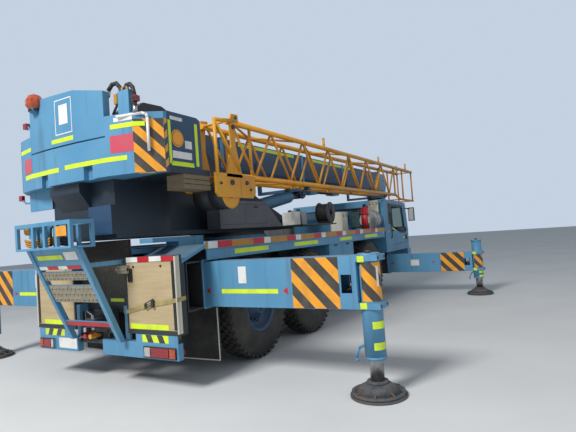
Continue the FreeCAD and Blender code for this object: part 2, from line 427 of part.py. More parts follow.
save("operator_glass", [side_plate([(fx0 - 8, oz0), (fx0, oz0), (OX1 - 18, OZ2), (fx1, oz1), (fx1 - 8, oz1), (OX1 - 26, OZ2)], OY0 + 90, OY1 - 90),
                        box(OX0 + 200, OXS - 180, OY0 + 100, OY1 - 100, OZ1 - 24, OZ1 - 16)])
OYM = (OY0 + OY1) / 2
oback = [(OX0 + 200, OZ0 + 420), (OX0 + 330, OZ0 + 420), (OX0 + 230, OZ1 - 270), (OX0 + 100, OZ1 - 270)]
save("operator_seat", fuse([box(OX0 + 300, OX0 + 850, OYM - 220, OYM + 220, OZ0 + OT, OZ0 + 470), side_plate(oback, OYM - 200, OYM + 200)]))

# ---- boom: base, two telescopic sections, head ----
WALL, WALL_2, WALL_3 = 22.0, 18.0, 16.0


def boom_tube(x0, x1, w, h, t):
    """an eight-cornered tube with a narrow belly, along x"""
    def ring(w, h):
        z0, z1, c = BOOM_Z - h / 2, BOOM_Z + h / 2, w * 0.22
        half = [(w / 2, z1), (w / 2, z0 + c * 1.3), (w / 2 - c * 0.45, z0 + c * 0.45), (w / 2 - c * 1.3, z0)]
        return half + [(-y, z) for y, z in reversed(half)]
    return end_plate(ring(w, h), x0, x1).cut(end_plate(ring(w - 2 * t, h - 2 * t), x0 - 1, x1 + 1))


BELLY, TOP = BOOM_Z - BOOM_H / 2, BOOM_Z + BOOM_H / 2
bl = [boom_tube(BX0, BX1, BOOM_W, BOOM_H, WALL), box(BX1 - 120, BX1, -BOOM_W / 2 - 20, BOOM_W / 2 + 20, TOP - 1, TOP + 25)]
bx, bz = LUFF_B
lug = [(bx - 200, BELLY + WALL - 1), (bx + 200, BELLY + WALL - 1), (bx + 100, bz - 70), (bx, bz - 110), (bx - 100, bz - 70)]
for s in (-1, 1):
    bl += [side_plate(lug, s * 125, s * 165), bar((bx, s * 105, bz), (bx, s * 185, bz), 45, 12)]
CRADLE_Z = JZ0 - CHORD_R / math.cos(math.pi / 6)
for x in (SLEW_X + 600, AXLE_X["1"] + 1200):        # arms that carry the stowed jib
    bl.append(box(x - 40, x + 40, -BOOM_W / 2 + 1, -BOOM_W / 2 - 40, CRADLE_Z - 50, BOOM_Z))
    bl.append(box(x - 40, x + 40, -BOOM_W / 2, JY0 - 30, CRADLE_Z - 50, CRADLE_Z))
base = fuse(bl)
for s in (-1, 1):
    base = base.cut(box(BX0 - 5, BX0 + 620, s * (CHEEK_Y - 6), s * BOOM_W, BELLY - 300, TOP + 300))
save("boom_base", base.fuse(cyl(PIV_X, -430, PIV_Z, 60, 860, "y")).removeSplitter())
W2, H2 = BOOM_W - 2 * WALL - 1, BOOM_H - 2 * WALL - 1
W3, H3 = W2 - 2 * WALL_2 - 1, H2 - 2 * WALL_2 - 1
save("boom_section_2", boom_tube(620, BX1 + 230, W2, H2, WALL_2))
head = [boom_tube(760, HEAD_X + 40, W3, H3, WALL_3), box(HEAD_X, HEAD_X + 45, -240, 240, BOOM_Z - 250, BOOM_Z + 280),
        bar((HEAD_X + 310, -206, BOOM_Z - 360), (HEAD_X + 310, 206, BOOM_Z - 360), 165, 16),
        bar((HEAD_X + 350, -206, BOOM_Z + 180), (HEAD_X + 350, 206, BOOM_Z + 180), 125, 16)]
# outline of the head's cheek as (x from HEAD_X, z from the boom's middle)
hp = [(0, 330), (270, 340), (490, 220), (510, 20), (410, -380), (270, -500), (110, -480), (0, -260)]
for s in (-1, 1):
    head.append(side_plate([(HEAD_X + x, BOOM_Z + z) for x, z in hp], s * 205, s * 240))
save("boom_head", fuse(head).cut(cyl(HEAD_PIN[0], -300, HEAD_PIN[1], HEAD_PIN_R, 600, "y")))

# luffing cylinder between the foot pin and the boom
LEN = math.hypot(LUFF_B[0] - LUFF_A[0], LUFF_B[1] - LUFF_A[1])
U = V((LUFF_B[0] - LUFF_A[0]) / LEN, 0, (LUFF_B[1] - LUFF_A[1]) / LEN)
FOOT = V(LUFF_A[0], 0, LUFF_A[1])
BAR_R, LROD_R, BAR_END = 125.0, 80.0, LEN - 360
barrel = bar(FOOT + U * 150, FOOT + U * BAR_END, BAR_R, 16)
barrel = barrel.fuse([bar((LUFF_A[0], -100, LUFF_A[1]), (LUFF_A[0], 100, LUFF_A[1]), 110, 16), bar(FOOT + U * 20, FOOT + U * 180, 95, 12)])
barrel = barrel.cut(bar(FOOT + U * 250, FOOT + U * LEN, LROD_R + ROD_GAP, 16))
save("luff_barrel", barrel.fuse(cyl(LUFF_A[0], -409, LUFF_A[1], 45 - HIDE_GAP, 818, "y")).removeSplitter())
rod = bar(FOOT + U * 260, FOOT + U * (LEN - 60), LROD_R, 16)
save("luff_rod", rod.fuse(bar((bx, -100, bz), (bx, 100, bz), 100, 16)).removeSplitter())

# ---- stowed lattice jib on the right of the boom ----
BAYS, PITCH, LACE_R = 14, 490.0, 17.0
JN = [JX0 + 120 + PITCH * i for i in range(BAYS + 1)]       # node points, top and bottom in turn
JE = JN[-1]
jib = [bar((JX0, y, z), (x, y, z), CHORD_R, 6) for y in (JY0, JY1) for z, x in ((JZ0, JE + 20), (JZ1, JX1))]
for i, x in enumerate(JN[:-1]):
    z, z2 = (JZ1, JZ0) if i % 2 == 0 else (JZ0, JZ1)
    for y in (JY0, JY1):
        jib.append(bar((x, y, z), (x + PITCH, y, z2), LACE_R))
    if i % 2 == 0:
        ya, yb = (JY0, JY1) if i % 4 == 0 else (JY1, JY0)
        jib += [bar((x, ya, z), (x + 2 * PITCH, yb, z), LACE_R) for z in (JZ0, JZ1)]
for x, z0 in ((JN[1] - 80, JZ0), (JE, JZ0), (JE + 700, JZ0 - 105), (JX1 - 30, JZ0 - 120)):
    for y in (JY0, JY1):
        jib.append(bar((x, y, z0), (x, y, JZ1), LACE_R + 4))
for x, z in ((JX0 + 20, JZ0), (JX0 + 20, JZ1), (JE, JZ0), (JX1 - 30, JZ0 - 120), (JX1 - 30, JZ1), (JE + 700, JZ1), (JE + 430, JZ0 - 105)):
    jib.append(bar((x, JY0, z), (x, JY1, z), LACE_R))
for y in (JY0, JY1):
    jib.append(bar((JE, y, JZ0), (JE + 430, y, JZ0 - 105), 25))
    jib.append(bar((JE + 410, y, JZ0 - 105), (JX1, y, JZ0 - 120), 25))
for x, y, top in ((3250, JY0, 3340), (6210, JY0, 3310), (8410, JY0, 3350), (8920, JY1, 3390)):
    jib.append(bar((x, y, JZ1), (x, y, top), LACE_R + 4))
save("jib", fuse(jib))
# its head: plates clamped outside the chords, uprights, and the sheave below them
head = [bar((JX0 - 20, JY0 - CHORD_R, JZ0 - 240), (JX0 - 20, JY1 + CHORD_R, JZ0 - 240), 190, 16)]
for y, s, drop in ((JY0 - CHORD_R - 14, -1, 290), (JY1 + CHORD_R + 14, 1, 200)):
    o = y + s * 11
    head += [bar((JX0 - 300, o, JZ0 - 20), (JX0 - 300, o, JZ1 - 20), LACE_R + 6), bar((JX0 - 310, o, JZ1 - 40), (JX0 + 60, o, JZ1), LACE_R + 8),
             bar((JX0 - 290, o, JZ1 - 60), (JX0 + 160, o, JZ0 + 60), LACE_R + 8),
             side_plate([(JX0 - 120, JZ0 - 30), (JX0 + 20, JZ1 - 320), (JX0 + 10, JZ1 + 10), (JX0 + 130, JZ1 + 10), (JX0 + 110, JZ1 - 320),
                         (JX0 + 220, JZ0 - 30)], y - 14, y + 14),
             box(JX0 - 340, JX0 + 500, y - 14, y + 14, JZ0 - drop, JZ0 + 10), box(JX0 + 20, JX0 + 200, y - 14, y + 14, JZ1, JZ1 + 100)]
save("jib_head", fuse(head))
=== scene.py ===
import bmesh
import bpy
import math
from mathutils import Matrix, Vector


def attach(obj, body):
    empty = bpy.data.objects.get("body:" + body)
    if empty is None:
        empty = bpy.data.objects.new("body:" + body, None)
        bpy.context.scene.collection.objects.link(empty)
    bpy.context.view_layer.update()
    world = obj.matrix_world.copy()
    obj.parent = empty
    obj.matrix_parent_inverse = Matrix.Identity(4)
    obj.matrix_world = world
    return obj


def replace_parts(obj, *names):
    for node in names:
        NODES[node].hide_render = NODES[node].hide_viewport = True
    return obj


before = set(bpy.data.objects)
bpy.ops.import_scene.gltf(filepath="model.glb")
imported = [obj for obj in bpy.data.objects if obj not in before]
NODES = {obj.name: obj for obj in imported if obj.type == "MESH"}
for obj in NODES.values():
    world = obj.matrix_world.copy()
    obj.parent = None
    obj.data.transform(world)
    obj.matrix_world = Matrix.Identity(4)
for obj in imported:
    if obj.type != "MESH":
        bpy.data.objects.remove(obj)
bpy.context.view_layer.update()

# Everything is placed in the drawing frame of the CAD source: x from the rear right outrigger's axis,
# y to the left, z up, in metres. MID_X turns it into the row frame when a piece is finished.
MID_X = 4.205
SIDES = (("right", -1), ("left", 1))


# ---- camera, floor and light ----
# The photograph's viewpoint, behind the right rear wheel at a tall person's eye height, with its slight roll.
# One large soft lamp stands where the sun was, behind the crane; a weak wide one fills the shaded right side.
def place_camera(at, yaw, pitch, roll, focal_px):
    ca, sa, cp, sp = math.cos(yaw), math.sin(yaw), math.cos(pitch), math.sin(pitch)
    ahead = Vector((ca * cp, sa * cp, sp))
    right = Vector((sa, -ca, 0))
    up = right.cross(ahead)
    right, up = right * math.cos(roll) + up * math.sin(roll), up * math.cos(roll) - right * math.sin(roll)
    data = bpy.data.cameras.new("viewpoint")
    data.sensor_width, data.lens = 36.0, 36.0 * focal_px / 576
    data.clip_end = 200
    cam = bpy.data.objects.new("viewpoint", data)
    cam.matrix_world = Matrix.Translation(at) @ Matrix((right, up, -ahead)).transposed().to_4x4()
    bpy.context.scene.collection.objects.link(cam)
    bpy.context.scene.camera = cam


place_camera(Vector((-4.435 - MID_X, -4.885, 1.656)), math.radians(30.14), math.radians(2.13), math.radians(-4.11), 467.6)


def linear(hexa):
    """sRGB hex to the linear colour that a node takes"""
    v = [int(hexa[i:i + 2], 16) / 255 for i in (1, 3, 5)]
    return tuple(c / 12.92 if c < 0.0405 else ((c + 0.055) / 1.055) ** 2.4 for c in v) + (1.0,)


def add(mat, kind, sockets=(), **settings):
    """one shader node with its settings; sockets is a table of socket: value, or node, or (node, output)"""
    n = mat.node_tree.nodes.new("ShaderNode" + kind)
    for k, v in settings.items():
        setattr(n, k, v)
    for key, v in dict(sockets).items():
        s = n.inputs[key]
        if isinstance(v, bpy.types.Node):
            v = (v, 0)
        if isinstance(v, tuple) and isinstance(v[0], bpy.types.Node):
            mat.node_tree.links.new(v[0].outputs[v[1]], s)
        else:
            s.default_value = v
    return n


def new_material(name):
    mat = bpy.data.materials.new(name)
    mat.use_nodes = True
    mat.node_tree.nodes.clear()
    return mat


def surface(mat, colour, rough, bump=None, **plain):
    """the closing shader: colour and rough are nodes or values, plain are uniform sockets"""
    sockets = {"Base Color": colour, "Roughness": rough, **{k.replace("_", " "): v for k, v in plain.items()}}
    if bump is not None:
        sockets["Normal"] = bump
    shader = add(mat, "BsdfPrincipled", sockets)
    add(mat, "OutputMaterial", {"Surface": shader})
    return mat


def stops(node, *pairs):
    """sets a colour ramp from (position, hex) pairs"""
    e = node.color_ramp.elements
    while len(e) < len(pairs):
        e.new(0.5)
    for el, (p, h) in zip(e, pairs):
        el.position, el.color = p, linear(h)
    return node


def floor_material():
    mat = new_material("studio_floor")
    at = add(mat, "TexCoord")
    grain = add(mat, "TexNoise", {"Vector": (at, "Object"), "Scale": 0.6, "Detail": 4.0})
    return surface(mat, stops(add(mat, "ValToRGB", {"Fac": grain}), (0.3, "#D5D5D3"), (0.7, "#DEDEDC")), 0.9)


bm = bmesh.new()
bmesh.ops.create_grid(bm, x_segments=1, y_segments=1, size=60)
mesh = bpy.data.meshes.new("studio_floor")
bm.to_mesh(mesh)
bm.free()
mesh.materials.append(floor_material())
ground = bpy.data.objects.new("studio_floor", mesh)
bpy.context.scene.collection.objects.link(ground)
ground.location.z = -0.002


def lamp(name, size, power, at, towards):
    data = bpy.data.lights.new(name, "AREA")
    data.size, data.energy = size, power
    o = bpy.data.objects.new(name, data)
    o.location = at
    o.rotation_euler = (Vector(towards) - Vector(at)).to_track_quat("-Z", "Y").to_euler()
    bpy.context.scene.collection.objects.link(o)


lamp("sun_soft_box", 4.0, 2500, (-16.0, 0.3, 12.3), (-3.0, 0, 1.5))
lamp("fill_soft_box", 14.0, 330, (-6.0, -14.0, 6.0), (0, 0, 1.0))
world = bpy.data.worlds.new("studio")
bpy.context.scene.world = world
world.use_nodes = True
sky = world.node_tree.nodes["Background"]
sky.inputs["Color"].default_value = linear("#C9D6E6")
path = world.node_tree.nodes.new("ShaderNodeLightPath")
last = path.outputs["Is Camera Ray"]
for ray in ("Is Glossy Ray", "Is Transmission Ray"):
    either = world.node_tree.nodes.new("ShaderNodeMath")
    either.operation = "MAXIMUM"
    world.node_tree.links.new(last, either.inputs[0])
    world.node_tree.links.new(path.outputs[ray], either.inputs[1])
    last = either.outputs[0]
level = world.node_tree.nodes.new("ShaderNodeMapRange")
world.node_tree.links.new(last, level.inputs["Value"])
level.inputs["To Min"].default_value, level.inputs["To Max"].default_value = 0.38, 0.95
world.node_tree.links.new(level.outputs[0], sky.inputs["Strength"])
bpy.context.scene.view_settings.view_transform = "Standard"


# ---- painted plates ----
# Welded high-tensile steel sprayed with two-pack enamel: blue on the crane, dark grey below, cream on boxes.
# Years outdoors have faded it in patches, rain has drawn thin grey runs down it and dust lies on its flats.
def enamel(name, hue, faded, grime, rough=0.44, dusty="#8E887C", dust=0.55, chips=None):
    mat = new_material(name)
    at = add(mat, "TexCoord")
    fade = add(mat, "TexNoise", {"Vector": (at, "Object"), "Scale": 1.1, "Detail": 5.0})
    base = stops(add(mat, "ValToRGB", {"Fac": fade}), (0.35, hue), (0.75, faded))
    runs_at = add(mat, "Mapping", {"Vector": (at, "Object"), "Scale": (14.0, 14.0, 0.9)})
    runs = add(mat, "TexNoise", {"Vector": runs_at, "Scale": 1.0, "Detail": 3.0})
    runs_on = add(mat, "MapRange", {"Value": runs, "From Min": 0.56, "From Max": 0.72, "To Max": 0.4})
    dirty = add(mat, "Mix", {0: runs_on, 6: (base, 0), 7: linear(grime)}, data_type="RGBA")
    normal = add(mat, "NewGeometry")
    up = add(mat, "SeparateXYZ", {0: (normal, "Normal")})
    patches = add(mat, "TexNoise", {"Vector": (at, "Object"), "Scale": 5.0, "Detail": 6.0})
    lie = add(mat, "MapRange", {"Value": (up, "Z"), "From Min": 0.55, "From Max": 1.0, "To Max": dust})
    much = add(mat, "Math", {0: lie, 1: patches}, operation="MULTIPLY")
    colour = add(mat, "Mix", {0: much, 6: (dirty, 2), 7: linear(dusty)}, data_type="RGBA")
    out = (colour, 2)
    if chips:
        spots = add(mat, "TexNoise", {"Vector": (at, "Object"), "Scale": 23.0, "Detail": 8.0, "Roughness": 0.7})
        worn = add(mat, "MapRange", {"Value": spots, "From Min": 0.66, "From Max": 0.69})
        out = (add(mat, "Mix", {0: worn, 6: (colour, 2), 7: linear(chips)}, data_type="RGBA"), 2)
    dull = add(mat, "MapRange", {"Value": patches, "To Min": rough - 0.06, "To Max": rough + 0.2})
    peel = add(mat, "TexNoise", {"Vector": (at, "Object"), "Scale": 90.0, "Detail": 2.0})
    waves = add(mat, "Bump", {"Height": peel, "Strength": 0.08, "Distance": 0.002})
    return surface(mat, out, dull, waves, Coat_Weight=0.12, Coat_Roughness=0.3)


BLUE = enamel("blue_enamel", "#4C88AC", "#6298B8", "#46606F", dust=0.55)
# the same blue paint drawn darker: painted shade for the sides that stay in shade, on the boom's base, the engine
# house, the tail plate's right half and the wheel rims
PAINTED_SHADE_BLUE = enamel("blue_enamel_painted_shade", "#203E5C", "#2B4D6C", "#1A232D", dust=0.4)
# darker again: painted shadow for the upper frame under the counterweight's overhang; its grime and dust runs are real
PAINTED_SHADOW_BLUE = enamel("blue_enamel_painted_shadow", "#172430", "#1E2E3C", "#101418", dust=0.25)
DARK = enamel("chassis_grey_enamel", "#26292C", "#34373A", "#17181A", rough=0.5, chips="#4A3F36")
GREY = enamel("light_grey_enamel", "#8C9196", "#A5A9AC", "#55585B", rough=0.45)
SILVER = enamel("heat_proof_silver_enamel", "#A6A9AA", "#BDBFBF", "#77736C", rough=0.5)
SLATE = enamel("slate_grey_enamel", "#54575B", "#696C70", "#3A3B3D", rough=0.5)
CREAM = enamel("cream_enamel", "#C9C3B0", "#D8D3C2", "#7E786A", rough=0.45)
YELLOW = enamel("jib_yellow_enamel", "#D08A14", "#E4A528", "#6B4A1C", rough=0.4, chips="#7A5A2C")
RED = enamel("extinguisher_red_enamel", "#B5121C", "#C72430", "#5A0E10", rough=0.28, dust=0.3)
BLACK = enamel("black_enamel", "#121314", "#1D1E20", "#2C2A27", rough=0.42, dust=0.4)


def dress(mat, *names):
    """gives CAD nodes their material"""
    for n in names:
        data = NODES[n].data
        data.materials.clear()
        data.materials.append(mat)


def piece(name, bm, body, *mats, smooth=False, bevel=0.0):
    """finishes a bmesh drawn in the drawing frame as a piece that rides on a body"""
    bm.normal_update()
    bmesh.ops.translate(bm, verts=bm.verts, vec=(-MID_X, 0, 0))
    mesh = bpy.data.meshes.new(name)
    bm.to_mesh(mesh)
    bm.free()
    for m in mats:
        mesh.materials.append(m)
    if smooth:
        mesh.shade_smooth()
        mesh.set_sharp_from_angle(angle=math.radians(38))
    o = bpy.data.objects.new(name, mesh)
    bpy.context.scene.collection.objects.link(o)
    if bevel:
        mod = o.modifiers.new("edges", "BEVEL")
        mod.width, mod.segments, mod.limit_method = bevel, 2, "ANGLE"
    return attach(o, body)


def block(bm, x0, x1, y0, y1, z0, z1, slot=0):
    """a box between corners"""
    at = Matrix.Translation(((x0 + x1) / 2, (y0 + y1) / 2, (z0 + z1) / 2))
    made = bmesh.ops.create_cube(bm, size=1, matrix=at @ Matrix.Diagonal((abs(x1 - x0), abs(y1 - y0), abs(z1 - z0), 1)))
    for f in {f for v in made["verts"] for f in v.link_faces}:
        f.material_index = slot
    return made["verts"]


def rod(bm, p, q, r, sides=12, slot=0, r2=None):
    """a round bar between two points"""
    p, q = Vector(p), Vector(q)
    turn = (q - p).to_track_quat("Z", "Y").to_matrix().to_4x4()
    made = bmesh.ops.create_cone(bm, cap_ends=True, segments=sides, radius1=r, radius2=r if r2 is None else r2, depth=(q - p).length,
                                 matrix=Matrix.Translation((p + q) / 2) @ turn)
    for f in {f for v in made["verts"] for f in v.link_faces}:
        f.material_index = slot
        f.smooth = len(f.verts) == 4
    return made["verts"]


def tube_along(bm, path, r, sides=14, slot=0):
    """a round tube through points, with a ball at every bend"""
    for p, q in zip(path, path[1:]):
        rod(bm, p, q, r, sides, slot)
    for p in path[1:-1]:
        made = bmesh.ops.create_uvsphere(bm, u_segments=sides, v_segments=8, radius=r * 1.005, matrix=Matrix.Translation(p))
        for f in {f for v in made["verts"] for f in v.link_faces}:
            f.material_index, f.smooth = slot, True


def softened(node, body, mats, soft, pick=None, crease=38):
    """a CAD node's plates with the small radius that folding, welding and paint give their edges"""
    bm = bmesh.new()
    bm.from_mesh(NODES[node].data)
    bmesh.ops.remove_doubles(bm, verts=bm.verts, dist=2e-5)
    bmesh.ops.dissolve_limit(bm, angle_limit=0.01, verts=bm.verts, edges=bm.edges)
    bmesh.ops.translate(bm, verts=bm.verts, vec=(MID_X, 0, 0))
    hard = [e for e in bm.edges if len(e.link_faces) == 2 and e.calc_face_angle(0) > 0.6]
    bmesh.ops.bevel(bm, geom=hard, offset=soft, offset_type="OFFSET", segments=2, profile=0.5, affect="EDGES", clamp_overlap=True, material=-1)
    for f in bm.faces:
        f.material_index = pick(f.calc_center_median(), f.normal) if pick else 0
    o = piece(node + "_plates", bm, body, *mats, smooth=True)
    o.data.set_sharp_from_angle(angle=math.radians(crease))
    flat = o.modifiers.new("flat_plates", "WEIGHTED_NORMAL")
    flat.keep_sharp = True
    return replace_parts(o, node)


# lens plastic of lamps, clear coloured acrylic with moulded ribs that glitter a little
def acrylic(name, hue, deep):
    mat = new_material(name)
    at = add(mat, "TexCoord")
    ribs = add(mat, "TexVoronoi", {"Vector": (at, "Object"), "Scale": 60.0})
    colour = stops(add(mat, "ValToRGB", {"Fac": (ribs, "Distance")}), (0.2, hue), (0.9, deep))
    return surface(mat, colour, 0.12, add(mat, "Bump", {"Height": (ribs, "Distance"), "Strength": 0.4, "Distance": 0.002}),
                   Transmission_Weight=0.35, Coat_Weight=0.6, IOR=1.49)


ORANGE_LENS = acrylic("orange_acrylic_lens", "#E0601C", "#B43E10")
RED_LENS = acrylic("red_acrylic_lens", "#C01828", "#7E0E18")
CLEAR_LENS = acrylic("clear_acrylic_lens", "#E6E4DC", "#BDBBB4")


# pressed floor plate: steel with raised diamonds, drawn at 60 mm where the real ones are 30 mm, blue worn through
def floor_plate():
    mat = new_material("pressed_floor_plate")
    at = add(mat, "TexCoord")
    turned = add(mat, "Mapping", {"Vector": (at, "Object"), "Rotation": (0.0, 0.0, 0.785), "Scale": (16.0, 16.0, 1.0)})
    lugs = add(mat, "TexVoronoi", {"Vector": turned, "Scale": 1.0, "Randomness": 0.0}, distance="MANHATTAN")
    top = add(mat, "MapRange", {"Value": (lugs, "Distance"), "From Min": 0.34, "From Max": 0.26})
    worn = add(mat, "TexNoise", {"Vector": (at, "Object"), "Scale": 2.2, "Detail": 7.0})
    base = stops(add(mat, "ValToRGB", {"Fac": worn}), (0.35, "#466A80"), (0.6, "#66737A"), (0.8, "#7A756C"))
    bright = add(mat, "Math", {0: top, 1: worn}, operation="MULTIPLY")
    colour = add(mat, "Mix", {0: bright, 6: (base, 0), 7: linear("#96938B")}, data_type="RGBA")
    return surface(mat, (colour, 2), 0.8, add(mat, "Bump", {"Height": top, "Strength": 0.5, "Distance": 0.003}))


FLOOR_PLATE = floor_plate()


def hose_rubber():
    mat = new_material("braided_hose_rubber")
    at = add(mat, "TexCoord")
    dirt = add(mat, "TexNoise", {"Vector": (at, "Object"), "Scale": 12.0, "Detail": 6.0})
    colour = stops(add(mat, "ValToRGB", {"Fac": dirt}), (0.4, "#18191A"), (0.8, "#3A3A38"))
    return surface(mat, colour, 0.6, add(mat, "Bump", {"Height": dirt, "Strength": 0.2, "Distance": 0.002}))


HOSE = hose_rubber()


# Every plate of the carrier, the upper works and the booms keeps its CAD form and gets its edge radius and paint.
# The deck's top is floor plate, the counterweight also carries beacon, lamps and hoses, the cab its mirrors.
def deck_slot(c, n):
    return 1 if n.z > 0.9 and abs(c.y) < 1.25 else 0


def weight_slot(c, n):
    if c.z > 3.373 and 0.36 < c.y < 0.66:
        return 1
    if c.z > 3.17 and (c.y < -1.045 and c.x > -0.97 and c.z < 3.25 or 0.885 < c.y):
        return 2
    return 3 if c.z > 3.072 and abs(c.x + 0.93) < 0.026 and c.y < -0.59 and not (-1.001 < c.y < -0.829 and c.z < 3.331) else 0


for node, body, soft, mats, pick in (
        ("deck", "carrier", 0.004, (BLUE, FLOOR_PLATE), deck_slot),
        ("bumper_rear", "carrier", 0.005, (BLUE,), None), ("bumper_front", "carrier", 0.010, (BLUE,), None),
        ("cab_shell", "carrier", 0.008, (BLUE, BLACK), lambda c, n: int(abs(c.y) > 1.27)),
        ("cab_door_left", "cab_door_left", 0.004, (BLUE, BLACK), lambda c, n: int(abs(c.y) > 1.252)),
        ("cab_door_right", "cab_door_right", 0.004, (BLUE, BLACK), lambda c, n: int(abs(c.y) > 1.252)),
        ("counterweight", "upper", 0.005, (BLUE, ORANGE_LENS, RED_LENS, HOSE), weight_slot),
        ("rear_bin", "carrier", 0.003, (BLUE,), None), ("rear_rack", "carrier", 0.003, (BLUE,), None),
        ("operator_cab", "upper", 0.008, (BLUE,), None), ("operator_door", "operator_door", 0.004, (BLUE,), None),
        # the boom's base takes the darkened blue: painted shade on its sides
        ("boom_base", "boom", 0.004, (PAINTED_SHADE_BLUE,), None), ("boom_section_2", "section_2", 0.003, (BLUE,), None),
        ("boom_head", "head", 0.004, (BLUE, BLACK), lambda c, n: int(abs(c.y) < 0.2045 and c.x > 9.36)),
        ("side_boxes", "carrier", 0.008, (BLUE,), None), ("engine_hood", "carrier", 0.014, (BLUE,), None),
        # the engine house's blue is darkened with painted shade; its hood is black paint
        ("engine_house", "upper", 0.006, (PAINTED_SHADE_BLUE, BLACK), lambda c, n: int(c.z > 3.072 and c.y < -0.67)),
        # upper frame: painted shadow on the parts under the counterweight; its tail plate is blue on the left and
        # painted shade on the right
        ("upper_frame", "upper", 0.005, (PAINTED_SHADOW_BLUE, BLUE, RED_LENS, PAINTED_SHADE_BLUE),
         lambda c, n: 2 if c.y > 1.19 else 1 if c.x < -0.845 and c.y > 0.56 else 3 if c.x < -0.845 and c.y < -0.165 else 0),
        ("luff_barrel", "luff_barrel", 0.003, (BLUE,), None), ("carrier_frame", "carrier", 0.003, (DARK,), None),
        ("axles", "carrier", 0.005, (DARK,), None), ("mat_holders", "carrier", 0.003, (DARK,), None),
        ("upper_side_box", "upper", 0.008, (SLATE,), None), ("deck_boxes", "carrier", 0.012, (CREAM,), None)):
    softened(node, body, mats, soft, pick, 15 if node == "counterweight" else 38)
for k in "123":
    for side, s in SIDES:
        dress(DARK, "knuckle_%s_%s" % (k, side))
dress(DARK, "engine_block", "slew_ring", "winch")


# ---- wheels ----
# Six 16.00 R 25 crane tyres on pressed steel rims, one node each: a spun carcass with block tread.
# Rubber is matt and grey with road dust; the rims are painted and the hub's reduction cap stands out.
def tyre_rubber():
    mat = new_material("natural_rubber_tyre")
    at = add(mat, "TexCoord")
    dust = add(mat, "TexNoise", {"Vector": (at, "Object"), "Scale": 3.0, "Detail": 8.0, "Roughness": 0.6})
    colour = stops(add(mat, "ValToRGB", {"Fac": dust}), (0.35, "#1B1B1C"), (0.7, "#4C4843"))
    grit = add(mat, "TexNoise", {"Vector": (at, "Object"), "Scale": 220.0, "Detail": 2.0})
    skin = add(mat, "Bump", {"Height": grit, "Strength": 0.25, "Distance": 0.002})
    return surface(mat, colour, add(mat, "MapRange", {"Value": dust, "To Min": 0.62, "To Max": 0.95}), skin)


RUBBER = tyre_rubber()
WHEEL_R, TYRE_W, RIM_R, TRACK_Y = 0.685, 0.370, 0.325, 1.095
AXLE_X = {"1": 5.300, "2": 2.490, "3": 0.910}


def spun(bm, loop, steps, slot=0, at=(0, 0, 0)):
    """a closed loop of (radius, y) turned once about the y axis through a point"""
    vs = [bm.verts.new((at[0] + r, at[1] + b, at[2])) for r, b in loop]
    es = [bm.edges.new(p) for p in zip(vs, vs[1:] + vs[:1])]
    old = set(bm.faces)
    bmesh.ops.spin(bm, geom=vs + es, cent=at, axis=(0, 1, 0), angle=2 * math.pi, steps=steps, use_merge=True)
    for f in set(bm.faces) - old:
        f.material_index, f.smooth = slot, True


